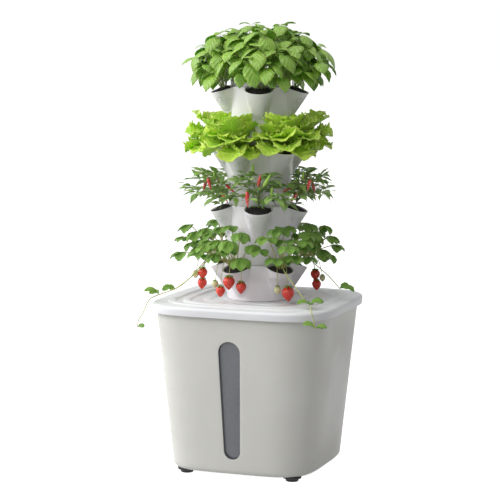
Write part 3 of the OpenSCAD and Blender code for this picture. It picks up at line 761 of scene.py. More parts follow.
@dataclass
class Tank:
    """Square water tank that widens towards its top, with its level window, feet and cable grommet."""

    foot_h: float = 12.0
    height: float = 386.0
    bottom_half: float = 174.0
    top_half: float = 211.0
    wall: float = 3.0
    floor: float = 4.0
    edge: float = 12.0
    squareness: float = 4.5
    window_z: float = 188.0
    gasket: float = 2.0
    pane: float = 3.0
    lap: float = 8.0
    grommet_z: float = 352.0
    cable_hole_r: float = 8.0
    cut_reach: float = 12.0
    middle_half: float = 40.0
    foot_offset: float = 130.0
    slot: Slot = field(default_factory=Slot)

    @property
    def tilt(self) -> float:
        """Lean of the walls."""
        return atan((self.top_half - self.bottom_half) / self.height)

    def half(self, z: float) -> float:
        """Half width of the outside at a height."""
        return self.bottom_half + (z - self.foot_h) * tan(self.tilt)

    def wall_frame(self, z: float, back: bool = False) -> Matrix:
        """Frame on the front or back wall: x along it, y up it, z outwards."""
        turn = Matrix.Rotation(pi if back else 0.0, 4, "Z")
        flat = cos(pi / 64) ** (2 / self.squareness)
        place = Matrix.Translation((0.0, -self.half(z) * flat, z))
        return turn @ place @ Matrix.Rotation(pi / 2 + self.tilt, 4, "X")

    def prism(self, name: str, outline: Sequence[Pair], low: float, high: float, where: Matrix,
              finish: Finish) -> Object:
        """Extrudes an outline between two distances from a wall."""
        shape = Shape()
        rows = [[(x, y, depth) for x, y in outline] for depth in (low, high)]
        shape.grid(rows, finish, closed=True, capped=True)
        shape.moved(where)
        return shape.built(name, smooth=False)

    def shell(self) -> Object:
        """Builds the tank's shell with its window opening and cable hole."""
        top = self.foot_h + self.height
        shape = Shape()
        low, floor, middle = self.foot_h, self.foot_h + self.floor, self.middle_half
        path = [(middle + (self.bottom_half - self.edge - middle) * share, low) for share in (0.0, 0.5, 0.86)]
        for climb, inset in quarter_turn(range(0, 91, 15)):
            z = low + self.edge * climb
            path.append((self.half(z) - self.edge * inset, z))
        path += [(self.half(z), z) for z in np.linspace(low + self.edge, top, 40)[1:]]
        path += [(self.half(z) - self.wall, z) for z in np.linspace(top, floor + self.edge, 40)]
        for climb, inset in quarter_turn((60, 30, 0)):
            z = floor + self.edge * climb
            path.append((self.half(z) - self.wall - self.edge * inset, z))
        path.append((middle, floor))
        rings = [(half, z, self.squareness) for half, z in path]
        shape.grid(square_rows(rings), Finish.TANK, closed=True, capped=True)
        tank = shape.built("tank_shell")
        r, reach = self.cable_hole_r, self.cut_reach
        window = self.prism(
            "window_cutter", self.slot.outline(), -reach, reach, self.wall_frame(self.window_z), Finish.TANK
        )
        ring = [(r * cos(tau * k / 48), r * sin(tau * k / 48)) for k in range(48)]
        hole = self.prism("cable_cutter", ring, -reach, reach, self.wall_frame(self.grommet_z, True), Finish.TANK)
        cut_by(tank, [window, hole])
        soften(tank, 0.9, 3, 50.0)
        crease(tank, 40.0)
        return tank

    def feet(self) -> None:
        """Builds the four rubber feet."""
        corners = [
            (0.0, 0.0, 0.0), (13.4, 0.0, 0.8), (15.0, 1.6, 0.8), (15.0, 7.0, 0.4), (20.5, 7.0, 0.9),
            (21.5, 8.2, 0.6), (21.5, 12.0, 0.6), (0.0, 12.0, 0.0),
        ]
        for index, (sx, sy) in enumerate(((-1, -1), (1, -1), (1, 1), (-1, 1)), 1):
            node = min(
                (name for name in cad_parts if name.startswith("foot_")),
                key=lambda name: (Vector(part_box(name)[0]) - Vector((sx, sy, 0)) * self.foot_offset * MM).length,
            )
            shape = Shape()
            turned(shape, rounded(corners), Finish.RUBBER, 72)
            shape.moved(Matrix.Translation((sx * self.foot_offset, sy * self.foot_offset, 0.0)))
            foot = shape.built(f"rubber_foot_{index}")
            crease(foot, 50.0)
            settle(foot, "base", "black_rubber", node)

    def window(self) -> None:
        """Builds the gasket and the pane behind the opening."""
        where = self.wall_frame(self.window_z)
        depth = -self.wall * cos(self.tilt) - 0.1
        shape = Shape()
        rows = []
        for grow, back in ((0.0, 0.0), (self.lap, 0.0), (self.lap, -self.gasket), (0.0, -self.gasket), (0.0, 0.0)):
            rows.append([(x, y, depth + back) for x, y in self.slot.outline(grow)])
        shape.grid(rows[::-1], Finish.GASKET, closed=True)
        shape.moved(where)
        gasket = shape.built("window_gasket_ring", smooth=False)
        merge_doubles(gasket)
        soften(gasket, 0.4, 2, 50.0)
        crease(gasket, 40.0)
        settle(gasket, "base", "black_rubber", "window_gasket")
        back = depth - self.gasket - 0.1
        pane = self.prism("window_pane", self.slot.outline(self.lap), back - self.pane, back, where, Finish.WINDOW)
        soften(pane, 0.5, 2, 50.0)
        crease(pane, 40.0)
        settle(pane, "base", "window_plastic", "level_window")

    def grommet(self) -> None:
        """Builds the cable grommet in the back wall."""
        neck = self.wall * cos(self.tilt) + 0.2
        corners = [
            (4.5, 0.0, 0.6), (12.0, 0.0, 0.8), (12.0, 2.0, 0.6), (7.9, 2.0, 0.0), (7.9, 2.0 + neck, 0.0),
            (12.0, 2.0 + neck, 0.6), (12.0, 4.0 + neck, 0.8), (4.5, 4.0 + neck, 0.6),
        ]
        shape = Shape()
        turned(shape, rounded(corners), Finish.RUBBER, 48)
        shape.moved(self.wall_frame(self.grommet_z, True) @ Matrix.Translation((0.0, 0.0, -neck - 1.9)))
        grommet = shape.built("cable_way_grommet")
        merge_doubles(grommet)
        crease(grommet, 50.0)
        settle(grommet, "base", "black_rubber", "cable_grommet")

    def build(self) -> None:
        """Builds the tank and its fittings."""
        settle(self.shell(), "base", "tank_plastic", "reservoir_tank")
        self.feet()
        self.window()
        self.grommet()


@dataclass
class Lid:
    """Lid with a rounded rim and three raised ridges, a centring ring, drain holes and the riser's hub."""

    half: float = 220.0
    top: float = 402.0
    plate: float = 4.0
    skirt: float = 20.0
    skirt_wall: float = 3.0
    rim: float = 7.0
    squareness: float = 4.5
    ridges: tuple[float, ...] = (178.0, 148.0, 105.0)
    ridge_width: float = 14.0
    ridge_height: float = 3.2
    ridge_slope: tuple[Pair, ...] = ((3.2, 0.0), (1.8, 0.12), (0.0, 0.5), (-1.8, 0.88), (-3.2, 1.0))
    ring_radius: float = 71.5
    ring_wall: float = 3.0
    ring_height: float = 8.0
    hub_radius: float = 12.0
    hub_height: float = 12.0
    bore: float = 8.5
    drains: Drains = field(default_factory=Drains)

    def rings(self) -> list[Point]:
        """Returns the rings from the middle of the underside round the rim to the centring ring."""
        n, top, under = self.squareness, self.top, self.top - self.plate
        inner = self.half - self.skirt_wall
        rings = [(self.bore, under, 2.0), (60.0, under, 2.0), (100.0, under, 3.0), (160.0, under, n)]
        low = top - self.skirt
        rim = (
            (inner - 4.0, under), (inner - 1.2, under - 0.4), (inner, under - 2.0), (inner, low + 0.5),
            (inner + 0.5, low), (self.half - 1.0, low), (self.half - 0.2, low + 0.6), (self.half, low + 2.0),
        )
        rings += [(half, z, n) for half, z in rim]
        rings += [(self.half - self.rim * x, top - self.rim * y, n) for x, y in quarter_turn(range(0, 91, 10))]
        for half in self.ridges:
            out, w, h = half + self.ridge_width / 2, self.ridge_width, self.ridge_height
            rings.append((out + 5.0, top, n))
            rings += [(out + away, top + rise * h, n) for away, rise in self.ridge_slope]
            rings += [(out - w - away, top + rise * h, n) for away, rise in self.ridge_slope[::-1]]
            rings.append((out - w - 5.0, top, n))
        r, inside, ring_top = self.ring_radius, self.ring_radius - self.ring_wall, top + self.ring_height
        hub, hub_top = self.hub_radius, top + self.hub_height
        round_rings = (
            (78.0, top), (r + 0.6, top), (r, top + 0.6), (r, ring_top - 1.0), (r - 0.5, ring_top),
            (inside + 0.5, ring_top), (inside, ring_top - 0.5), (inside, top),
            (hub + 1.0, top), (hub, top + 1.0), (hub, hub_top - 0.6), (hub - 0.6, hub_top), (self.bore, hub_top),
        )
        return [*rings, (88.0, top, 3.0), *((half, z, 2.0) for half, z in round_rings)]

    def build(self) -> None:
        """Builds the lid."""
        shape = Shape()
        rows = square_rows(self.rings())
        rows.append(rows[0])
        shape.grid(rows, Finish.LID, closed=True)
        lid = shape.built("lid_moulding")
        merge_doubles(lid)
        self.drains.drill(lid, self.top - 9, self.top + 4, Finish.LID)
        crease(lid, 42.0)
        settle(lid, "lid", "lid_plastic", "lid")


# Planting tiers

def soft_max(first: np.ndarray, second: np.ndarray | float, reach: float) -> np.ndarray:
    """Largest of two distance fields, with the edge between them rounded over a reach."""
    ease = np.clip(1.0 - np.abs(first - second) / reach, 0.0, 1.0)
    return np.maximum(first, second) + ease * ease * reach / 4.0


def soft_min(first: np.ndarray, second: np.ndarray | float, reach: float) -> np.ndarray:
    """Smallest of two distance fields, with the hollow between them filled over a reach."""
    return -soft_max(-first, -second, reach)


def surface_net(values: np.ndarray, axes: Sequence[np.ndarray]) -> tuple[np.ndarray, np.ndarray]:
    """Finds the surface on which a field changes sign, on a grid whose first axis closes on itself.

    Args:
        values: the field at the grid's nodes, negative inside.
        axes: the nodes' places along each axis; the first axis holds its turn in degrees.

    Returns:
        The surface's points in the grid's own coordinates, and its quads.
    """
    shape = values.shape
    inside = values < 0.0
    total = np.zeros((*shape, 3))
    hits = np.zeros(shape)
    crossings = []
    turn = float(axes[0][1] - axes[0][0])

    def stepped_back(index: np.ndarray, others: Sequence[int], first: int, second: int) -> np.ndarray:
        """Steps cells back along two axes, round the closed one."""
        cell = index.copy()
        cell[:, others[0]] -= first
        cell[:, others[1]] -= second
        cell[:, 0] %= shape[0]
        return cell

    for axis in range(3):
        ahead_values, ahead_inside = np.roll(values, -1, axis), np.roll(inside, -1, axis)
        crossed = inside != ahead_inside
        if axis > 0:
            crossed[(slice(None),) * axis + (-1,)] = False
        index = np.argwhere(crossed)
        here, ahead = values[crossed], ahead_values[crossed]
        share = here / (here - ahead)
        crossings.append((axis, index, inside[crossed]))
        others = [other for other in range(3) if other != axis]
        for first in (0, 1):
            for second in (0, 1):
                cell = stepped_back(index, others, first, second)
                place = np.zeros((len(index), 3))
                place[:, axis] = share
                place[:, others[0]] = first
                place[:, others[1]] = second
                keys = tuple(cell.T)
                for part in range(3):
                    np.add.at(total[..., part], keys, place[:, part])
                np.add.at(hits, keys, 1.0)
    used = np.argwhere(hits > 0)
    number = -np.ones(shape, dtype=np.int64)
    number[tuple(used.T)] = np.arange(len(used))
    offset = total[tuple(used.T)] / hits[tuple(used.T)][:, None]
    points = np.zeros((len(used), 3))
    points[:, 0] = axes[0][0] + (used[:, 0] + offset[:, 0]) * turn
    for part in (1, 2):
        nodes = axes[part]
        low = nodes[used[:, part]]
        high = nodes[np.minimum(used[:, part] + 1, len(nodes) - 1)]
        points[:, part] = low + offset[:, part] * (high - low)
    quads = []
    for axis, index, starts_inside in crossings:
        others = [(axis + 1) % 3, (axis + 2) % 3]
        corners = []
        for first, second in ((0, 0), (1, 0), (1, 1), (0, 1)):
            corners.append(number[tuple(stepped_back(index, others, first, second).T)])
        quad = np.stack(corners, axis=1)
        quad[~starts_inside] = quad[~starts_inside][:, ::-1]
        quads.append(quad)
    return points, np.concatenate(quads)


def tier_turn(tier: int) -> float:
    """Turn of a tier about the tower's axis, in degrees."""
    return 0.0 if tier % 2 == 0 else POCKET_TURN / 2


@dataclass
class TierForm:
    """Distance field of one tier: a tapered column with five leaning pockets and a socket for the next tier."""

    top_r: float = 81.7
    end_r: float = 69.0
    top_h: float = 5.0
    pitch: float = 138.0
    nest: float = 14.0
    wall: float = 2.6
    plate: float = 3.0
    seat_hole: float = 62.0
    gap: float = 0.5
    mouth_r: float = 86.0
    pocket_r: float = 34.0
    tilt: float = radians(22.0)
    cone: float = radians(13.0)
    mouth_tilt: float = radians(18.0)
    pocket_l: float = 60.0
    ledge_depth: float = 5.0
    ledge: float = 2.0
    flank_reach: float = 3.0
    lip_reach: float = 1.5
    column_cos: float = 0.9965
    end_h: float = -147.0

    def column_r(self, h: np.ndarray | float) -> np.ndarray | float:
        """Radius of the column at a height above the middle of the mouths."""
        slope = (self.top_r - self.end_r) / (self.nest + self.pitch)
        return self.top_r - (self.top_h - h) * slope

    def pocket(self, x: np.ndarray, y: np.ndarray, h: np.ndarray, inset: float) -> np.ndarray:
        """Distance from a pocket's cone and round end, shrunk by an inset."""
        along = x * sin(self.tilt) + h * cos(self.tilt)
        away = np.hypot(x * cos(self.tilt) - h * sin(self.tilt), y)
        side = (away - self.pocket_r - along * tan(self.cone)) * cos(self.cone)
        end_r = (self.pocket_r - self.pocket_l * tan(self.cone)) * cos(self.cone)
        end = np.hypot(away, along + self.pocket_l) - end_r
        on_side = away * sin(self.cone) + (along + self.pocket_l) * cos(self.cone) > 0.0
        return np.where(on_side, side, end) + inset

    def field(self, turn: np.ndarray, r: np.ndarray, h: np.ndarray) -> np.ndarray:
        """Distance from the tier's surface, negative inside its walls.

        Args:
            turn: angle from the middle of the nearest pocket's mouth, in degrees.
            r: distance from the tower's axis.
            h: height above the middle of the mouths.

        Returns:
            The distances.
        """
        a = np.radians((turn + POCKET_TURN / 2) % POCKET_TURN - POCKET_TURN / 2)
        x, y = r * np.cos(a) - self.mouth_r, r * np.sin(a)
        column = (r - self.column_r(h)) * self.column_cos
        sides = soft_min(column, self.pocket(x, y, h, 0.0), self.flank_reach)
        plane = h * cos(self.mouth_tilt) + x * sin(self.mouth_tilt)
        outside = soft_max(sides, soft_max(plane, h - self.top_h, 1.0), self.lip_reach)
        outside = soft_max(outside, self.end_h - h, 1.0)
        socket = self.column_r(self.top_h - self.pitch) + self.gap
        under_top, seat = self.top_h - self.wall, self.top_h - self.nest
        upper = np.maximum(r - socket, under_top - 1.0 - h)
        neck = np.maximum(column + self.wall, np.maximum(h - under_top, seat - h))
        hole = np.maximum(r - self.seat_hole, np.maximum(h - seat - 1.0, seat - self.plate - 1.0 - h))
        chamber = np.maximum(column + self.wall, h - seat + self.plate)
        space = np.minimum(np.minimum(upper, neck), np.minimum(hole, chamber))
        inner = self.pocket(x, y, h, self.wall)
        slab = np.maximum(plane + self.ledge_depth, -plane - self.ledge_depth - self.ledge)
        shelf = np.maximum(slab, np.maximum(-self.pocket(x, y, h, self.wall + self.ledge), socket + 8.0 - r))
        cavity = soft_min(space, np.maximum(inner, -shelf), 0.6)
        return soft_max(outside, -cavity, self.lip_reach)


@dataclass
class Tiers:
    """The four stacked tiers."""

    form: TierForm = field(default_factory=TierForm)
    first_mouth: float = 482.0
    lid_top: float = 402.0
    base_gap: float = 1.0
    floor_depth: float = 88.0
    floor_t: float = 3.0
    bore: float = 8.5
    drains: Drains = field(default_factory=Drains)
    steps_per_pocket: int = 64

    def mouth_z(self, tier: int) -> float:
        """Height of a tier's mouths."""
        return self.first_mouth + (tier - 1) * self.form.pitch

    def walls(self, end_h: float) -> tuple[np.ndarray, np.ndarray]:
        """Makes the walls of a tier that reaches down to an end height.

        Args:
            end_h: the lower end, below the middle of the mouths.

        Returns:
            The points round the tower's axis and the quads.
        """
        form = TierForm(end_h=end_h)
        turns = np.arange(POCKETS * self.steps_per_pocket) * (POCKET_TURN / self.steps_per_pocket)
        radii = np.concatenate([np.arange(59.0, 66.0, 1.5), np.arange(66.0, 124.0, 1.3)])
        fine_top = np.arange(-18.0, 7.2, 1.0)
        middle = np.arange(-80.0, -18.0, 3.0)
        low = np.linspace(end_h + 3.0, -80.0, 18)[:-1] if end_h < -90 else np.empty(0)
        start = middle[middle > end_h + 3.0]
        heights = np.concatenate([np.arange(end_h - 2.0, end_h + 3.0, 0.8), low, start, fine_top])
        one = turns[: self.steps_per_pocket, None, None]
        values = form.field(one, radii[None, :, None], heights[None, None, :])
        points, quads = surface_net(np.tile(values, (POCKETS, 1, 1)), (turns, radii, heights))
        for _ in range(3):
            points = self.pressed(form, points)
        a = np.radians(points[:, 0])
        flat = np.stack([points[:, 1] * np.cos(a), points[:, 1] * np.sin(a), points[:, 2]], axis=1)
        return flat, quads

    @staticmethod
    def pressed(form: TierForm, points: np.ndarray) -> np.ndarray:
        """Moves points along the field's slope onto the surface."""
        turn, r, h = points.T
        e = 0.05
        here = form.field(turn, r, h)
        wide = np.degrees(e / np.maximum(r, 1.0))
        steps = ((wide, 0.0, 0.0), (0.0, e, 0.0), (0.0, 0.0, e))
        slope = np.stack(
            [(form.field(turn + t, r + d, h + u) - form.field(turn - t, r - d, h - u)) / (2 * e) for t, d, u in steps],
            axis=1,
        )
        size = np.maximum((slope**2).sum(axis=1), 0.3)
        step = -(here / size)[:, None] * slope
        step = np.clip(step, -0.4, 0.4)
        return points + np.stack([np.degrees(step[:, 0] / np.maximum(r, 1.0)), step[:, 1], step[:, 2]], axis=1)

    def floor_plate(self) -> Object:
        """Builds a tier's floor with its drain holes and the riser's bore, below the middle of the mouths."""
        form = self.form
        top, low = -self.floor_depth, -self.floor_depth - self.floor_t
        shape = Shape()
        profile = rounded(
            [
                (self.bore, low, 0.4),
                (float(form.column_r(low)) - form.wall + 0.6, low, 0.0),
                (float(form.column_r(top)) - form.wall + 0.6, top, 0.0),
                (self.bore, top, 0.4),
            ]
        )
        turned(shape, profile, Finish.TIER, 120)
        plate = shape.built("floor_plate")
        merge_doubles(plate)
        self.drains.drill(plate, low - 2, top + 2, Finish.TIER)
        return plate

    def build(self) -> None:
        """Builds the tiers; those above the lowest share one shape."""
        plate = self.floor_plate()
        shared = self.walls(self.form.end_h)
        lowest = self.walls(self.lid_top - self.first_mouth + self.base_gap)
        for tier in range(1, 5):
            points, quads = lowest if tier == 1 else shared
            shape = Shape()
            shape.add(points, quads, Finish.TIER)
            if tier > 1:
                base = np.array([tuple(vertex.co / MM) for vertex in plate.data.vertices])
                shape.add(base, [tuple(face.vertices) for face in plate.data.polygons], Finish.TIER)
            place = Matrix.Translation((0.0, 0.0, self.mouth_z(tier)))
            place = place @ Matrix.Rotation(radians(tier_turn(tier)), 4, "Z")
            shape.moved(place)
            piece = shape.built(f"tier_moulding_{tier}")
            crease(piece, 55.0)
            settle(piece, f"tier_{tier}", "tier_plastic", f"tier_{tier}")
        bpy.data.objects.remove(plate, do_unlink=True)


@dataclass
class Crown:
    """Cap of the topmost tier and the distributor dish below it."""

    mouth_z: float = 896.0
    radius: float = 69.0
    wall: float = 2.5
    wall_h: float = 14.0
    edge: float = 8.0
    seat: float = -9.0

    def build(self) -> None:
        """Builds the cap and dresses the distributor."""
        outer, inner, top = self.radius, self.radius - self.wall, self.wall_h
        profile = [(inner, self.seat), (inner + 0.4, self.seat), (outer - 0.4, self.seat), (outer, self.seat + 0.4)]
        for angle in range(0, 91, 9):
            a = radians(angle)
            profile.append((outer - self.edge * (1 - cos(a)), top + self.edge * sin(a)))
        height = top + self.edge
        profile += [(r, height) for r in (54.0, 46.0, 30.0, 15.0, 0.001)]
        profile += [(0.001, height - self.wall), (30.0, height - self.wall), (55.0, height - self.wall)]
        for angle in range(90, -1, -15):
            a = radians(angle)
            reach = self.edge - self.wall
            profile.append((outer - self.edge + reach * cos(a), top + reach * sin(a)))
        shape = Shape()
        turned(shape, profile + [profile[0]], Finish.TIER, 128)
        shape.moved(Matrix.Translation((0.0, 0.0, self.mouth_z)))
        cap = shape.built("cap_moulding")
        merge_doubles(cap, 3e-6)
        crease(cap, 50.0)
        settle(cap, "cap", "tier_plastic", "top_cap")
        dish = merged_copy("distributor", "distributor_dish", Finish.PIPE)
        settle(dish, "cap", "pipe_plastic", "distributor")


@dataclass
class Waterworks:
    """Riser tube, pump and its trim."""

    def build(self) -> None:
        """Dresses the parts of the pump and the riser."""
        parts = (
            ("riser_tube", "riser_pipe", Finish.PIPE, "pipe_plastic"),
            ("pump_body", "pump_housing", Finish.PUMP, "pump_plastic"),
            ("pump_inlet_cover", "pump_grille", Finish.PUMP_TRIM, "pump_trim"),
            ("pump_outlet", "pump_socket", Finish.PUMP_TRIM, "pump_trim"),
        )
        for node, name, finish, slot in parts:
            settle(merged_copy(node, name, finish), "lid", slot, node)


@dataclass
class Cups:
    """The twenty planting cups."""

    def build(self) -> None:
        """Dresses every cup."""
        for tier in range(1, 5):
            for place in range(1, POCKETS + 1):
                node = f"cup_{tier}_{place}"
                settle(merged_copy(node, f"planting_{node}", Finish.CUP), node, "cup_plastic", node)


# Plants

FRILL_LONG, FRILL_SHORT = 0.75, 0.7  # shares of the long and the short waves in a leaf's frill
SHORT_PACE = 2.3  # short waves for each long one
TEETH_FROM, TEETH_TO = 0.12, 0.99  # the toothed part of a blade's length
THIN_MARGIN = 0.12  # thickness of a blade's margin as a share of its middle


def curve_point(points: Sequence, i: int, t: float) -> float | Vector:
    """Place on a smooth curve through values or points, a share t of the way from one to the next."""
    before, here = points[max(i - 1, 0)], points[i]
    ahead, after = points[i + 1], points[min(i + 2, len(points) - 1)]
    return 0.5 * (
        (2 * here) + (ahead - before) * t + (2 * before - 5 * here + 4 * ahead - after) * t * t
        + (3 * here - before - 3 * ahead + after) * t**3
    )


@dataclass
class Blade:
    """One leaf blade: a closed, thin, drooping body with its own outline, fold and frill."""

    length: float
    width: float
    outline: Sequence[float]
    rise: float
    droop: float
    fold: float = 0.25
    cup: float = 0.0
    frill: float = 0.0
    waves: float = 5.0
    lobes: float = 0.0
    tooth: float = 0.0
    sway: float = 0.0
    roll: float = 0.0
    thick: float = 0.5
    rows: int = 10
    across: int = 6
    phase: float = 0.0

    def half_width(self, v: float) -> float:
        """Half width at a share of the length, without the margin's teeth."""
        stations = len(self.outline) - 1
        place = v * stations
        index = min(int(place), stations - 1)
        return max(curve_point(self.outline, index, place - index), 0.015) * self.width / 2

    def add_to(self, shape: Shape, at: Vector, heading: float, finish: Finish, tone: float) -> None:
        """Adds the blade.

        Args:
            shape: the shape to add to.
            at: the point where the blade starts.
            heading: the direction that it grows in, in degrees about the upright.
            finish: its finish.
            tone: the value of the tone attribute.
        """
        k = radians(self.droop) or 1e-4
        rise, roll = radians(self.rise), radians(self.roll)
        turn = Matrix.Rotation(radians(heading), 3, "Z")
        upper, lower = [], []
        for i in range(self.rows + 1):
            v = i / self.rows
            e = rise - k * v
            centre = Vector(
                (self.length / k * (sin(rise) - sin(e)), self.sway * v * v,
                 self.length / k * (cos(e) - cos(rise)))
            )
            n = Vector((-sin(e), 0.0, cos(e)))
            t = Vector((cos(e), 0.0, sin(e)))
            s = Vector((0.0, 1.0, 0.0))
            s, n = s * cos(roll * v) + n * sin(roll * v), n * cos(roll * v) - s * sin(roll * v)
            w = self.half_width(v)
            if TEETH_FROM < v < TEETH_TO:
                w *= 1.0 + self.tooth * (((i + 1) % 2) * 2 - 1)
            top, under = [], []
            for j in range(self.across + 1):
                u = 2 * j / self.across - 1
                a = abs(u)
                side = 1.0 if u > 0 else -1.0
                wave = sin(tau * self.waves * v + self.phase + side * 1.3)
                wave2 = sin(tau * self.waves * SHORT_PACE * v + 2.1 * self.phase - side)
                lift = self.fold * a * w + self.cup * (a * a - 0.4) * w
                frill = self.frill * (FRILL_LONG * wave + FRILL_SHORT * wave2)
                lift += frill * a**1.7 * min(1.0, 3 * v, 0.3 + 4 * (1 - v))
                spread = 1.0 + self.lobes * wave2 * a
                advance = 0.15 * self.frill * wave2 * a * a
                point = centre + s * (u * w * spread) + n * lift + t * advance
                edge = THIN_MARGIN + (1 - THIN_MARGIN) * (1 - a**3)
                half = self.thick / 2 * edge
                top.append(Vector(at) + turn @ (point + n * half))
                under.append(Vector(at) + turn @ (point - n * half))
            upper.append(top)
            lower.append(under)
        rows = [tuple(tuple(p) for p in top + under[::-1]) for top, under in zip(upper, lower)]
        start_face = len(shape.uvs)
        shape.grid(rows, finish, closed=True, capped=True, tone=tone)
        ring = 2 * (self.across + 1)
        index = start_face
        for i in range(self.rows):
            for j in range(ring):
                ua, ub = self.across_of(j), self.across_of((j + 1) % ring)
                v0, v1 = i / self.rows, (i + 1) / self.rows
                shape.uvs[index] = ((ua, v0), (ub, v0), (ub, v1), (ua, v1))
                index += 1

    def across_of(self, j: int) -> float:
        """Share across the blade of a place in its ring."""
        return j / self.across if j <= self.across else (2 * self.across + 1 - j) / self.across


def spindle(shape: Shape, at: Vector, axis: Vector, length: float, radii: Sequence[float], finish: Finish,
            bend: Vector = Vector((0, 0, 0)), sides: int = 12, tone: float = 0.5) -> None:
    """Adds a round tapered body along an axis, such as a fruit.

    Args:
        shape: the shape to add to.
        at: its start.
        axis: its direction.
        length: its length.
        radii: its radius at even stations.
        finish: its finish.
        bend: how far its end is carried aside.
        sides: faces round it.
        tone: the value of the tone attribute.
    """
    axis = axis.normalized()
    first = axis.orthogonal().normalized()
    second = axis.cross(first)
    rows = []
    count = len(radii) - 1
    for i, radius in enumerate(radii):
        v = i / count
        centre = Vector(at) + axis * (length * v) + bend * (v * v)
        rows.append(
            [tuple(centre + radius * (first * cos(tau * j / sides) + second * sin(tau * j / sides)))
             for j in range(sides)]
        )
    shape.grid(rows, finish, closed=True, capped=True, tone=tone)


@dataclass
class Strand:
    """One stem: the points it follows and its radius at both ends."""

    points: list[Vector]
    start: float
    end: float


def smooth_path(points: Sequence[Vector], steps: int = 6) -> list[Vector]:
    """Runs a smooth path through points."""
    inner = [curve_point(points, i, step / steps) for i in range(len(points) - 1) for step in range(steps)]
    return [*inner, points[-1]]


class Tool:
    """A Geometry Nodes tree with named inputs, whose result takes one finish."""

    name = "tool"
    inputs: dict[str, str] = {}

    def __init__(self) -> None:
        self.tree = bpy.data.node_groups.new(self.name, "GeometryNodeTree")
        self.tree.is_modifier = True
        kinds = {"Geometry": "Geometry", **self.inputs, "Finish": "Material"}
        self.sockets = {label: self.socket(label, kind).identifier for label, kind in kinds.items()}
        self.socket("Geometry", "Geometry", "OUTPUT")
        graph = Graph(self.tree)
        given, result = graph.add("NodeGroupInput"), graph.add("NodeGroupOutput")
        real = graph.add("GeometryNodeRealizeInstances", {"Geometry": self.body(graph, given.outputs)})
        dressed = {"Geometry": real.outputs[0], "Material": given.outputs["Finish"]}
        graph.fill(result, {0: graph.add("GeometryNodeSetMaterial", dressed).outputs[0]})

    def socket(self, label: str, kind: str, side: str = "INPUT") -> NodeTreeInterfaceSocket:
        """Declares one socket of the tree."""
        return self.tree.interface.new_socket(label, in_out=side, socket_type=f"NodeSocket{kind}")

    def body(self, graph: Graph, given: NodeOutputs) -> NodeSocket:
        """Builds the tree's own part and returns its geometry."""
        raise NotImplementedError

    def attach(self, piece: Object, **values: object) -> None:
        """Puts the tree on an object, with values for its inputs."""
        modifier = piece.modifiers.new(self.name, "NODES")
        modifier.node_group = self.tree
        for label, value in values.items():
            modifier[self.sockets[label]] = value


class StemTubes(Tool):
    """Tool that runs a round tube along every strand."""

    name = "stem_tubes"
    inputs = {"Sides": "Int", "Girth": "Float"}

    def body(self, graph: Graph, given: NodeOutputs) -> NodeSocket:
        """Builds the tubes and returns their geometry."""
        round_profile = {"Resolution": given["Sides"], "Radius": given["Girth"]}
        ring = graph.add("GeometryNodeCurvePrimitiveCircle", round_profile)
        thick = graph.add("GeometryNodeInputRadius")
        tube = graph.add("GeometryNodeCurveToMesh", {"Curve": given["Geometry"], "Profile Curve": ring.outputs[0]})
        if "Scale" in tube.inputs:
            graph.fill(tube, {"Scale": thick.outputs[0]})
        graph.fill(tube, {"Fill Caps": True})
        return tube.outputs[0]

    def mesh(self, name: str, strands: Sequence[Strand], finish: Finish, sides: int = 6) -> Object:
        """Makes a piece of tubes.

        Args:
            name: the piece's name.
            strands: the strands.
            finish: the finish.
            sides: faces round each tube.

        Returns:
            The piece.
        """
        curve = bpy.data.curves.new(name, "CURVE")
        curve.dimensions = "3D"
        for strand in strands:
            spline = curve.splines.new("POLY")
            last = len(strand.points) - 1
            spline.points.add(last)
            for index, point in enumerate(strand.points):
                spline.points[index].co = (*(Vector(point) * MM), 1.0)
                spline.points[index].radius = strand.start + (strand.end - strand.start) * (index / last)
        source = linked(f"{name}_path", curve)
        self.attach(source, Sides=sides, Girth=MM, Finish=finish.made())
        graph = bpy.context.evaluated_depsgraph_get()
        mesh = bpy.data.meshes.new_from_object(source.evaluated_get(graph), depsgraph=graph)
        bpy.data.objects.remove(source, do_unlink=True)
        mesh.polygons.foreach_set("use_smooth", [True] * len(mesh.polygons))
        return linked(name, mesh)


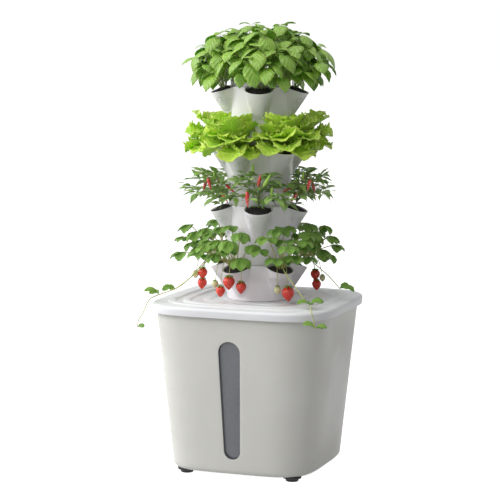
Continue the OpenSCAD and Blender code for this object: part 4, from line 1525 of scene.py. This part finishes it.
class Granules(Tool):
    """Tool that heaps dark granules on the top of the growing medium."""

    name = "granule_heap"
    inputs = {"Density": "Float", "Size": "Float", "Seed": "Int"}
    density = 190000.0
    size = 0.0021
    steepest = 0.6

    def random_vector(self, graph: Graph, seed: NodeSocket, low: Point, high: Point) -> NodeSocket:
        """Returns a random vector between two limits for each granule."""
        node = graph.add("FunctionNodeRandomValue", {0: low, 1: high}, data_type="FLOAT_VECTOR")
        graph.fill(node, {"Seed": seed})
        return node.outputs[0]

    def body(self, graph: Graph, given: NodeOutputs) -> NodeSocket:
        """Builds the heap and returns its geometry."""
        normal = graph.add("GeometryNodeInputNormal")
        up = graph.add("ShaderNodeSeparateXYZ", {"Vector": normal.outputs[0]})
        limits = {0: up.outputs["Z"], 1: self.steepest}
        top = graph.add("FunctionNodeCompare", limits, data_type="FLOAT", operation="GREATER_THAN")
        where = {"Mesh": given["Geometry"], "Selection": top.outputs[0]}
        amount = {"Density": given["Density"], "Seed": given["Seed"]}
        spread = graph.add("GeometryNodeDistributePointsOnFaces", where | amount)
        grain = graph.add("GeometryNodeMeshIcoSphere", {"Radius": given["Size"], "Subdivisions": 1})
        turn = self.random_vector(graph, given["Seed"], (0.0, 0.0, 0.0), (tau, tau, tau))
        stretch = self.random_vector(graph, given["Seed"], (0.5, 0.5, 0.35), (1.3, 1.1, 0.9))
        placed = graph.add(
            "GeometryNodeInstanceOnPoints",
            {"Points": spread.outputs["Points"], "Instance": grain.outputs[0], "Rotation": turn, "Scale": stretch},
        )
        both = graph.add("GeometryNodeJoinGeometry")
        for part in (given["Geometry"], placed.outputs[0]):
            graph.fill(both, {0: part})
        return both.outputs[0]

    def heap(self, piece: Object, seed: int) -> None:
        """Heaps granules on a piece."""
        self.attach(piece, Density=self.density, Size=self.size, Seed=seed, Finish=Finish.GRANULE.made())
        apply_modifiers(piece)


@dataclass
class Pot:
    """One planting place: where its mouth is, which way it faces and what grows in it."""

    tier: int
    place: int
    form: TierForm = field(default_factory=TierForm)
    first_mouth: float = 482.0
    cup_inset: float = 7.1
    flat_x: float = -12.2
    depth: float = 4.0
    foot: float = 53.9

    @property
    def body(self) -> str:
        """Name of the body of the pot's cup."""
        return f"cup_{self.tier}_{self.place}"

    @property
    def turn(self) -> float:
        """Heading of the pocket about the tower's axis, in degrees."""
        return (self.place - 1) * POCKET_TURN + tier_turn(self.tier)

    def front(self) -> Vector:
        """Direction of the object's shown side, in the frame of the mouth."""
        a = radians(FRONT_HEADING - self.turn)
        return Vector((cos(a), sin(a), 0.0))

    @property
    def frame(self) -> Matrix:
        """Frame of the mouth: x outwards from the tower, z up."""
        height = self.first_mouth + (self.tier - 1) * self.form.pitch
        spin = Matrix.Rotation(radians(self.turn), 4, "Z")
        return Matrix.Translation((0.0, 0.0, height)) @ spin @ Matrix.Translation((self.form.mouth_r, 0.0, 0.0))

    def section(self, depth: float, inset: float, count: int = 56) -> list[Point]:
        """Outline of the cup's inside at a depth below the mouth's plane."""
        tilt = self.form.mouth_tilt
        axis_x = -depth * tan(self.form.tilt)
        seat = self.form.top_h - self.form.nest

        def height(x: float) -> float:
            """Height of the section's plane at a distance outwards."""
            return -depth / cos(tilt) - x * tan(tilt)

        points = []
        for index in range(count):
            a = tau * index / count
            low, high = 0.0, 60.0
            for _ in range(26):
                reach = (low + high) / 2
                x, y = axis_x + reach * cos(a), reach * sin(a)
                gap = float(self.form.pocket(np.array(x), np.array(y), np.array(height(x)), inset))
                low, high = (reach, high) if gap < 0 else (low, reach)
            x, y = axis_x + low * cos(a), low * sin(a)
            x = max(x, self.flat_x + min(0.0, height(x) - seat) * tan(self.form.tilt))
            points.append((x, y, height(x)))
        return points

    def medium(self, granules: Granules, slot: str) -> None:
        """Builds the growing medium with its granules."""
        shape = Shape()
        sections = [self.section(depth, self.cup_inset) for depth in (self.foot, 40.0, 25.0, 12.0, self.depth)]
        top = np.array(sections[-1])
        centre = top.mean(axis=0)
        rise = ((0.93, 1.4), (0.75, 4.0), (0.5, 6.4), (0.25, 7.6), (0.04, 8.0))
        rows = sections + [(centre + (top - centre) * share + np.array((0, 0, up))).tolist() for share, up in rise]
        shape.grid(rows, Finish.GRANULE, closed=True, capped=True)
        shape.moved(self.frame)
        piece = shape.built(f"medium_{self.tier}_{self.place}")
        granules.heap(piece, 10 * self.tier + self.place)
        settle(piece, self.body, slot)


@dataclass
class Plant:
    """What grows in one pot."""

    pot: Pot
    tubes: StemTubes
    random: Random = field(init=False)
    leaves: Shape = field(default_factory=Shape)
    strands: list[Strand] = field(default_factory=list)

    kind: str = "plant"
    stem_finish: Finish = Finish.BASIL_STEM
    stem_sides: int = 6

    def __post_init__(self) -> None:
        """Seeds the plant's own random numbers."""
        self.random = Random(100 * self.pot.tier + self.pot.place)

    @property
    def slot_name(self) -> str:
        """Name of the plant, as given to settle for its slot."""
        return f"{self.kind}_plant"

    def between(self, low: float, high: float) -> float:
        """Returns a random number between two limits."""
        return self.random.uniform(low, high)

    def strand(self, points: Sequence[Sequence[float]], start: float, end: float) -> list[Vector]:
        """Adds a stem through points and returns its smooth path."""
        path = smooth_path([Vector(point) for point in points])
        self.strands.append(Strand(path, start, end))
        return path

    def grow(self) -> None:
        """Fills the leaves and strands."""
        raise NotImplementedError

    def build(self) -> None:
        """Builds the plant's pieces and puts them on its cup."""
        self.grow()
        name = f"{self.kind}_{self.pot.place}"
        for strand in self.strands:
            strand.points = [self.pot.frame @ point for point in strand.points]
        stems = self.tubes.mesh(f"{name}_stems", self.strands, self.stem_finish, self.stem_sides)
        settle(stems, self.pot.body, self.slot_name)
        self.leaves.moved(self.pot.frame)
        settle(self.leaves.built(f"{name}_leaves"), self.pot.body, self.slot_name, name)


@dataclass
class Basil(Plant):
    """Several upright shoots with pairs of large, glossy, drooping leaves."""

    kind: str = "basil"
    leaf_length: float = 59.0
    outline: tuple[float, ...] = (0.03, 0.10, 0.58, 0.92, 1.0, 0.86, 0.50, 0.05)
    heads: tuple[Point, ...] = (
        (-30.0, -8.0, 136.0), (-20.0, 28.0, 120.0), (-6.0, -36.0, 112.0), (14.0, 8.0, 122.0),
        (22.0, -26.0, 92.0), (26.0, 38.0, 88.0), (44.0, 2.0, 96.0), (2.0, -60.0, 78.0), (6.0, 58.0, 74.0),
        (54.0, -26.0, 62.0), (54.0, 26.0, 58.0), (34.0, 2.0, 48.0), (30.0, -46.0, 38.0), (30.0, 46.0, 36.0),
    )
    tall_heads: int = 5

    def leaf(self, at: Vector, heading: float, size: float, rise: float) -> None:
        """Adds one leaf."""
        Blade(
            length=size * 1.24, width=size * 0.74, outline=self.outline, rise=rise,
            droop=self.between(58, 84), fold=0.12, cup=-0.28, sway=self.between(-5, 5),
            roll=self.between(-20, 20), frill=0.5, waves=2.2, phase=self.between(0, 6), rows=11, across=6,
        ).add_to(self.leaves, at, heading, Finish.BASIL, self.between(0.0, 0.9))

    def rosette(self, at: Vector, size: float, spin: float) -> None:
        """Adds the crossed pairs of leaves round a shoot's tip, smaller towards its top."""
        for level, (share, rise) in enumerate(((1.0, -14.0), (0.80, 6.0), (0.44, 34.0))):
            for side in (0, 180):
                heading = spin + 90 * level + side + self.between(-14, 14)
                away = cos(radians(heading))
                if at.x < 60 and at.z < 60 and away < -0.3:
                    continue
                length = size * share * self.between(0.88, 1.08) * (0.75 if away < -0.4 else 1.0)
                self.leaf(at + Vector((0, 0, 2.0 * level)), heading, length, rise + self.between(-10, 10))

    def grow(self) -> None:
        """Grows the shoots."""
        for index, (x, y, top) in enumerate(self.heads):
            foot = Vector((5 * cos(index * 1.6), 8 * sin(index * 1.6), -6.0))
            head = Vector((x + self.between(-6, 6), y + self.between(-6, 6), top + self.between(-7, 7)))
            path = self.strand([foot, foot.lerp(head, 0.45) + Vector((3, 0, 8)), head], 1.4, 0.7)
            spin = self.between(30, 75) if index % 2 else self.between(-20, 25)
            size = self.leaf_length * self.between(0.9, 1.1) * (1.0 if top > 60 else 0.84)
            self.rosette(path[-1], size, spin)
            if index < self.tall_heads:
                for share in (0.48, 0.70):
                    at = path[int(share * (len(path) - 1))]
                    for side in (0, 180):
                        heading = spin + 45 + side + 200 * share
                        if cos(radians(heading)) > -0.2:
                            self.leaf(at, heading, size * self.between(0.75, 0.95), self.between(-18, 12))


@dataclass
class Lettuce(Plant):
    """Rosette of frilled leaves that droop over the pocket's rim."""

    kind: str = "lettuce"
    outline: tuple[float, ...] = (0.14, 0.22, 0.48, 0.78, 1.0, 1.08, 0.96, 0.24)

    def leaf(self, heading: float, length: float, rise: float, droop: float, width: float, frill: float) -> None:
        """Adds one leaf."""
        a = radians(heading)
        at = Vector((3 + 5 * cos(a), 5 * sin(a), -5.0))
        Blade(
            length=length, width=width, outline=self.outline, rise=rise, droop=droop, fold=0.22,
            cup=0.1, frill=frill, waves=self.between(4.6, 5.8), lobes=0.05, sway=self.between(-10, 10),
            tooth=0.02, roll=self.between(-25, 25), phase=self.between(0, 6), rows=46, across=14, thick=0.6,
        ).add_to(self.leaves, at, heading, Finish.LETTUCE, self.between(0.0, 0.8))

    def grow(self) -> None:
        """Grows the rosette from its outer leaves inwards."""
        rings = (
            # count, first heading, step, length, rise, droop, width, frill
            (7, -92.0, 30.5, (84, 98), (24, 40), (58, 88), (56, 66), (4.4, 6.0)),
            (7, -84.0, 28.0, (94, 106), (50, 62), (58, 84), (58, 68), (4.4, 6.0)),
            (8, -112.0, 32.0, (106, 120), (68, 80), (36, 58), (54, 62), (4.4, 6.0)),
            (6, -150.0, 60.0, (80, 98), (78, 90), (10, 30), (44, 52), (4.0, 5.5)),
        )
        for count, first, step, lengths, rises, droops, widths, frills in rings:
            for k in range(count):
                heading = first + step * k + self.between(-7, 7)
                ahead = cos(radians(heading))
                reach = 0.80 + 0.20 * max(ahead, 0.0)
                droop = self.between(*droops) * (0.35 if ahead < -0.2 else 1.0)
                self.leaf(heading, self.between(*lengths) * reach, self.between(*rises), droop,
                          self.between(*widths) * (0.75 + 0.25 * reach), self.between(*frills))
        self.strand([(3, 0, -10), (4, 0, 0), (5, 0, 6)], 7.0, 4.0)


@dataclass
class Chili(Plant):
    """Small branched bush with narrow leaves and upright and hanging fruits."""

    kind: str = "chili"
    column_x: float = -9.0
    stem_finish: Finish = Finish.CHILI_STEM
    front_fruits: tuple[Fruit, ...] = (
        ((50.0, -27.0, 47.0), (0.0, 0.05, -1.0), 38.0, True),
        ((46.0, -2.0, 54.0), (0.0, 0.2, 1.0), 30.0, True),
        ((48.0, 10.0, 55.0), (0.0, 0.6, 1.0), 34.0, False),
        ((40.0, 34.0, 56.0), (0.1, -0.1, -1.0), 24.0, False),
        ((10.0, -14.0, 84.0), (-0.2, -0.1, 1.0), 24.0, False),
    )
    side_fruits: tuple[Fruit, ...] = (
        ((50.0, 36.0, 72.0), (-0.25, 0.1, -1.0), 30.0, True),
        ((8.0, 40.0, 56.0), (-0.75, 0.1, -0.65), 28.0, True),
        ((20.0, 42.0, 38.0), (-0.55, 0.1, -0.8), 27.0, True),
        ((34.0, -32.0, 60.0), (0.2, -0.2, -1.0), 30.0, True),
        ((30.0, 26.0, 66.0), (0.2, 0.3, 1.0), 24.0, False),
    )
    front_place: int = 5
    left_place: int = 4
    clear_view: float = 12.0
    outline: tuple[float, ...] = (0.04, 0.10, 0.80, 1.0, 0.85, 0.52, 0.22, 0.03)

    def leaf(self, at: Vector, heading: float, size: float, rise: float) -> None:
        """Adds one leaf, unless it would reach into the column."""
        a = radians(heading)
        middle = at + Vector((cos(a), sin(a), 0.0)) * size * 0.5
        if at.x + 0.7 * size * cos(a) < self.column_x or self.hides_fruit(middle):
            return
        Blade(
            length=size, width=size * 0.35, outline=self.outline, rise=rise, droop=self.between(25, 65), fold=0.2,
            cup=-0.1, sway=self.between(-4, 4), roll=self.between(-65, 65), frill=0.6, waves=1.6,
            phase=self.between(0, 6), rows=8, across=4, thick=0.45,
        ).add_to(self.leaves, at, heading, Finish.CHILI, self.between(0.0, 1.0))

    def fruits(self) -> list[tuple[Vector, Vector, float, Finish]]:
        """Returns each fruit's place, axis, length and finish; a side plant carries them on its front side."""
        at_front = self.pot.place == self.front_place
        mirrored = Vector((1.0, 1.0 if at_front or self.pot.place == self.left_place else -1.0, 1.0))
        return [
            (Vector(place) * mirrored, Vector(axis) * mirrored, size, Finish.RED_CHILI if ripe else Finish.GREEN_CHILI)
            for place, axis, size, ripe in (self.front_fruits if at_front else self.side_fruits)
        ]

    def hides_fruit(self, middle: Vector) -> bool:
        """Returns whether a leaf with this middle would cover a fruit from the front."""
        front = self.pot.front()
        for place, axis, size, _ in self.fruits():
            offset = middle - place - axis.normalized() * size * 0.5
            ahead = offset.dot(front)
            if ahead > 0.0 and (offset - front * ahead).length < self.clear_view:
                return True
        return False

    def fruit(self, at: Vector, axis: Vector, size: float, finish: Finish) -> None:
        """Adds one fruit with its calyx and stalk."""
        axis = axis.normalized()
        radii = [size * share for share in (0.04, 0.10, 0.13, 0.135, 0.125, 0.11, 0.085, 0.05, 0.012)]
        bend = Vector((self.between(-2, 2), self.between(-2, 2), 0.0)) + Vector((0, 0, -1)) * self.between(0, 2)
        spindle(self.leaves, at, axis, size, radii, finish, bend, 12, self.between(0, 0.6))
        spindle(self.leaves, at - axis * 2.6, axis, 4.6, (1.0, 1.6, 3.4, 3.8, 2.8), Finish.CHILI_STEM, sides=9)
        self.strand([at - axis * 11 + Vector((0, 0, 1.5)), at - axis * 6, at - axis * 1.5], 0.8, 1.1)

    def branch(self, fork: Vector, heading: float, climb: float, reach: float) -> None:
        """Adds one branch with leaves along it and a tuft at its tip.

        Args:
            fork: where the trunk forks.
            heading: the branch's direction about the upright, in degrees.
            climb: its elevation, in degrees.
            reach: its length.
        """
        a, e = radians(heading), radians(climb)
        out = Vector((cos(a) * cos(e), sin(a) * cos(e), sin(e)))
        tip = fork + out * reach
        tip.x = max(tip.x, self.column_x + 4.0)
        middle = fork.lerp(tip, 0.5) + Vector((0, 0, 6 if climb > 30 else 10))
        path = self.strand([fork, middle, tip], 1.0, 0.5)
        sag = 0 if climb > 30 else -12
        for m in range(5):
            at = path[int((0.36 + 0.13 * m) * (len(path) - 1))]
            side = 1 if m % 2 else -1
            self.leaf(at, heading + side * self.between(25, 75), self.between(30, 44), self.between(0, 40) + sag)
        for turn, rise in ((-58, 20), (-20, 48), (22, 8), (56, 34)):
            self.leaf(path[-1], heading + turn, self.between(32, 46), rise + sag + self.between(-12, 12))

    def grow(self) -> None:
        """Grows the trunk, its branches, leaves and fruits."""
        fork = Vector((6.0, 0.0, 14.0))
        self.strand([(1, 0, -5), (3, 0.6, 5), fork], 2.0, 1.5)
        rounds = (
            # headings, climb, reach
            ((-100, -62, -22, 24, 62, 100), (4, 26), (66, 86)),
            ((-100, -60, -26, 8, 46, 84), (38, 56), (62, 80)),
            ((-130, -54, -4, 52, 134), (64, 80), (58, 74)),
        )
        for headings, climbs, reaches in rounds:
            for heading in headings:
                reach = self.between(*reaches) * (0.74 + 0.26 * cos(radians(heading)))
                self.branch(fork + Vector((0, 0, self.between(-3, 5))), heading + self.between(-8, 8),
                            self.between(*climbs), max(reach, 44.0))
        for heading in (-96, -38, 22, 84):
            self.leaf(fork - Vector((0, 0, self.between(6, 10))), heading, self.between(24, 32), self.between(10, 40))
        for place, axis, size, finish in self.fruits():
            nudge = Vector((self.between(-2, 2), self.between(-2, 2), self.between(-2, 2)))
            self.fruit(place + nudge, axis, size, finish)


@dataclass(frozen=True)
class Runner:
    """A runner's path, with the heading and share of full size of each young leaf at its end and at a node."""

    points: tuple[Point, ...]
    end_leaves: tuple[Pair, ...]
    node: int = 0
    node_leaves: tuple[Pair, ...] = ()


@dataclass
class Strawberry(Plant):
    """Crown of three-part leaves with hanging fruits, a flower and, at most places, runners."""

    kind: str = "strawberry"
    stem_finish: Finish = Finish.STRAWBERRY_STEM
    leaflet_length: float = 36.0
    outline: tuple[float, ...] = (0.05, 0.34, 0.74, 0.96, 1.0, 0.92, 0.66, 0.22)
    crown: tuple[Point, ...] = (
        (10.0, -66.0, 46.0), (30.0, -54.0, 78.0), (24.0, -30.0, 92.0), (44.0, -18.0, 66.0), (20.0, 4.0, 96.0),
        (52.0, 10.0, 50.0), (34.0, 34.0, 86.0), (14.0, 58.0, 62.0), (48.0, -44.0, 34.0), (46.0, 44.0, 30.0),
        (68.0, -10.0, 34.0), (60.0, 26.0, 72.0), (70.0, -34.0, 60.0),
    )
    wide_crown: tuple[Point, ...] = ((98.0, 8.0, 62.0), (92.0, -26.0, 44.0), (80.0, 22.0, 84.0), (90.0, 26.0, 20.0))
    wide_places: tuple[int, ...] = (1, 3)
    runners: tuple[tuple[Runner, ...], ...] = (
        (Runner(((6, -4, 0), (20, -36, 16), (34, -63, 2), (63, -71, -24), (86, -88, -53)),
                ((-60, 0.72), (-25, 0.85), (10, 0.6))),),
        (Runner(((6, 4, 0), (48, 20, 24), (84, 34, 2), (96, 38, -34)), ((-60, 0.7), (0, 0.8), (70, 0.6))),),
        (
            Runner(((6, 4, 0), (24, 38, 14), (37, 66, -4), (54, 92, -30), (74, 122, -50), (108, 150, -64),
                    (122, 172, -73), (132, 186, -102), (142, 190, -120), (144, 190, -136)),
                   ((160, 0.5), (215, 0.42)), 5, ((15, 0.85), (65, 0.75), (-40, 0.7))),
            Runner(((6, 2, 0), (22, 38, 12), (41, 70, -15), (68, 85, -40), (89, 95, -56)),
                   ((-10, 0.6), (25, 0.75), (75, 0.5))),
        ),
        (),
        (Runner(((6, 4, 0), (40, -16, 16), (70, -38, 4), (114, -18, -52), (135, -13, -69), (211, -63, -70),
                 (217, -61, -88), (219, -58, -108)),
                ((-134, 0.72), (46, 0.66), (80, 0.5)), 4, ((-124, 0.7), (56, 0.8), (136, 0.6))),),
    )
    berries: tuple[tuple[tuple[Point, float, bool], ...], ...] = (
        (((46, -22, -14), 27, True), ((50, -20, -39), 26, True), ((60, -34, -26), 17, False)),
        (((50, -20, -14), 26, True), ((54, 6, -24), 30, True), ((46, 28, -10), 24, True)),
        (((46, 24, -12), 27, True), ((48, 22, -37), 27, True), ((62, 30, -20), 18, False)),
        (((46, 14, -14), 32, True), ((53, -5, -38), 26, True), ((31, 38, -26), 29, True), ((54, -20, -26), 18, False)),
        (((51, -14, -36), 35, True), ((34, -31, -36), 20, False)),
    )

    def leaf_of_three(self, at: Vector, heading: float, size: float, rise: float) -> None:
        """Adds three leaflets."""
        tone = self.between(0.0, 1.0)
        for k in (-1, 0, 1):
            Blade(
                length=size * (1.0 if k == 0 else 0.92), width=size * 0.82, outline=self.outline, rise=rise,
                droop=self.between(16, 38), fold=0.30, cup=0.05, frill=0.8, waves=3.0, tooth=0.14,
                phase=self.between(0, 6), roll=k * 12.0, rows=17, across=6, thick=0.5,
            ).add_to(self.leaves, at, heading + 66 * k, Finish.STRAWBERRY, min(1.0, tone + 0.1 * abs(k)))

    def young_leaf(self, at: Vector, heading: float, size: float) -> None:
        """Adds one young leaf at a runner's node, with its face turned to the front."""
        a = radians(heading)
        side = copysign(1.0, Vector((-sin(a), cos(a), 0.0)).dot(self.pot.front()))
        Blade(
            length=size * 1.15, width=size * 0.66, outline=self.outline, rise=self.between(18, 44),
            droop=self.between(40, 70), roll=-side * self.between(35, 70), fold=0.5, cup=0.05, frill=0.4,
            waves=3.0, tooth=0.05, phase=self.between(0, 6), rows=12, across=4,
        ).add_to(self.leaves, at, heading, Finish.STRAWBERRY, self.between(0.0, 0.5))

    def fruit(self, p: Vector, finish: Finish, size: float) -> None:
        """Adds one hanging fruit with its calyx and stalk."""
        over = Vector((p.x * 0.72, p.y * 0.8, 22.0 + self.between(-3, 3)))
        self.strand([(8, p.y * 0.2, -7), over, p + Vector((0, 0, 1))], 0.9, 0.7)
        radii = [size * r for r in (0.10, 0.30, 0.40, 0.43, 0.41, 0.36, 0.28, 0.17, 0.04)]
        spindle(self.leaves, p, Vector((0.06, 0.04, -1.0)), size, radii, finish, sides=16, tone=self.between(0, 0.7))
        for index in range(7):
            Blade(
                length=size * 0.42, width=size * 0.17, outline=(0.5, 0.9, 1.0, 0.7, 0.1), rise=18,
                droop=80, fold=0.2, rows=4, across=2, thick=0.4,
            ).add_to(
                self.leaves, p + Vector((0, 0, 0.6)), 360 * index / 7 + self.between(-8, 8), Finish.STRAWBERRY, 0.1
            )

    def flower(self, p: Vector) -> None:
        """Adds a small white flower on its stalk."""
        self.strand([(6, p.y * 0.2, -6), p * 0.6 + Vector((0, 0, 14)), p], 0.7, 0.5)
        for index in range(5):
            Blade(
                length=7.5, width=7.5, outline=(0.2, 0.8, 1.0, 0.9, 0.4), rise=25, droop=20, fold=0.2,
                rows=4, across=4, thick=0.3,
            ).add_to(self.leaves, p, 72 * index, Finish.PETAL, 0.2)
        spindle(self.leaves, p, Vector((0, 0, 1)), 2.2, (1.8, 2.2, 1.6, 0.5), Finish.PALE_BERRY, sides=8)

    def grow(self) -> None:
        """Grows the crown, fruits, flower and runners."""
        crown = self.crown + (self.wide_crown if self.pot.place in self.wide_places else ())
        for x, y, z in crown:
            at = Vector((x + self.between(-5, 5), y + self.between(-6, 6), z + self.between(-5, 5)))
            heading = degrees(atan2(at.y, at.x)) + self.between(-16, 16)
            start = Vector((2 + 0.05 * at.x, 0.08 * at.y, -5))
            self.strand([start, start.lerp(at, 0.5) + Vector((0, 0, 8)), at], 1.5, 1.0)
            self.leaf_of_three(at, heading, self.leaflet_length * self.between(0.78, 1.02), self.between(-42, -6))
        step = self.pot.place - 1
        for place, size, ripe in self.berries[step]:
            self.fruit(Vector(place), Finish.RED_BERRY if ripe else Finish.PALE_BERRY, size)
        self.flower(Vector((40, 22, 40)))
        for runner in self.runners[step]:
            path = self.strand(runner.points, 1.3, 1.0)
            node = Vector(runner.points[runner.node]) + Vector((0, 0, 1))
            for at, leaves in ((path[-1], runner.end_leaves), (node, runner.node_leaves)):
                for heading, share in leaves:
                    self.young_leaf(at, heading, self.leaflet_length * share)


@dataclass
class Garden:
    """Everything that grows in the tower."""

    kinds: tuple[type, ...] = (Strawberry, Chili, Lettuce, Basil)

    def build(self) -> None:
        """Plants every pot."""
        tubes, granules = StemTubes(), Granules()
        for tier, kind in enumerate(self.kinds, 1):
            for place in range(1, POCKETS + 1):
                pot = Pot(tier, place)
                plant = kind(pot, tubes)
                plant.build()
                pot.medium(granules, plant.slot_name)


# Studio and main

@dataclass
class Studio:
    """Camera, lamps, backdrop and floor."""

    lens: float = 144.0
    azimuth: float = 19.74
    elevation: float = 6.92
    roll: float = 0.3
    distance: float = 4708.9
    aim: Point = (0.0, 0.0, 520.8)
    shift: Pair = (-21.46, -5.78)
    floor_reach: float = 30.0
    base_light: float = 0.29
    seen_light: float = 0.72
    glossy_light: float = 0.45

    def camera(self) -> None:
        """Creates the camera at the photograph's viewpoint."""
        data = bpy.data.cameras.new("view")
        data.lens = self.lens
        data.sensor_width = 36.0
        data.clip_end = 60.0
        az, el, roll = (radians(value) for value in (self.azimuth, self.elevation, self.roll))
        back = Vector((sin(az) * cos(el), -cos(az) * cos(el), sin(el)))
        right = Vector((cos(az), sin(az), 0.0))
        up = back.cross(right)
        r = right * cos(roll) + up * sin(roll)
        u = up * cos(roll) - right * sin(roll)
        place = Vector(self.aim) + back * self.distance + r * self.shift[0] + u * self.shift[1]
        camera = linked("view", data)
        camera.matrix_world = Matrix.Translation(place * MM) @ Matrix((r, u, back)).transposed().to_4x4()
        bpy.context.scene.camera = camera

    def lamp(self, name: str, place: Point, size: float, power: float, aim: Point = (0.0, 0.0, 0.5)) -> None:
        """Adds a soft square lamp that looks at a point, all in metres and watts."""
        data = bpy.data.lights.new(name, "AREA")
        data.size = size
        data.energy = power
        lamp = linked(name, data)
        lamp.matrix_world = Matrix.Translation(place) @ (
            (Vector(place) - Vector(aim)).to_track_quat("Z", "Y").to_matrix().to_4x4()
        )

    @staticmethod
    def rays(graph: Graph) -> tuple[NodeSocket, NodeSocket]:
        """Returns whether a ray comes from the camera, straight or through a pane, and whether it is glossy."""
        path = graph.add("ShaderNodeLightPath").outputs
        return graph.math("MAXIMUM", path["Is Camera Ray"], path["Is Transmission Ray"]), path["Is Glossy Ray"]

    def backdrop(self) -> None:
        """Adds the pale floor and the white surroundings."""
        material, graph, shader = _new_material("studio_floor")
        seen, glossy = self.rays(graph)
        bright = graph.math("MAXIMUM", seen, glossy)
        graph.fill(shader, {"Base Color": GREY, "Roughness": 0.9, "Emission Color": WHITE, "Emission Strength": bright})
        mesh = bpy.data.meshes.new("studio_floor")
        corners = [(x * self.floor_reach, y * self.floor_reach, 0) for x, y in ((-1, -1), (1, -1), (1, 1), (-1, 1))]
        mesh.from_pydata(corners, [], [(0, 1, 2, 3)])
        mesh.materials.append(material)
        linked("studio_floor", mesh)
        world = bpy.data.worlds.new("studio")
        bpy.context.scene.world = world
        world.use_nodes = True
        sky = Graph(world.node_tree)
        seen, glossy = self.rays(sky)
        tone = sky.math("MAXIMUM", sky.times(seen, self.seen_light), sky.times(glossy, self.glossy_light))
        around = sky.add("ShaderNodeBackground", {"Color": WHITE, "Strength": sky.plus(tone, self.base_light)})
        sky.add("ShaderNodeOutputWorld", {"Surface": around.outputs[0]})

    def build(self) -> None:
        """Builds the studio."""
        self.camera()
        self.backdrop()
        self.lamp("key", (-3.3, -0.95, 1.9), 2.8, 128.0)
        self.lamp("front", (-0.3, -1.7, 1.6), 1.0, 11.0, (0.0, 0.0, 0.85))
        self.lamp("top", (-0.2, -0.6, 3.4), 1.8, 32.0)
        bpy.context.scene.view_settings.view_transform = "Standard"


def main() -> None:
    """Builds the studio and every sub-assembly."""
    logging.basicConfig(level=logging.INFO, format="%(message)s")
    for assembly in (Studio(), Tank(), Lid(), Tiers(), Crown(), Waterworks(), Cups(), Garden()):
        LOG.info("Building: %s", type(assembly).__name__)
        assembly.build()


if __name__ == "__main__":
    main()
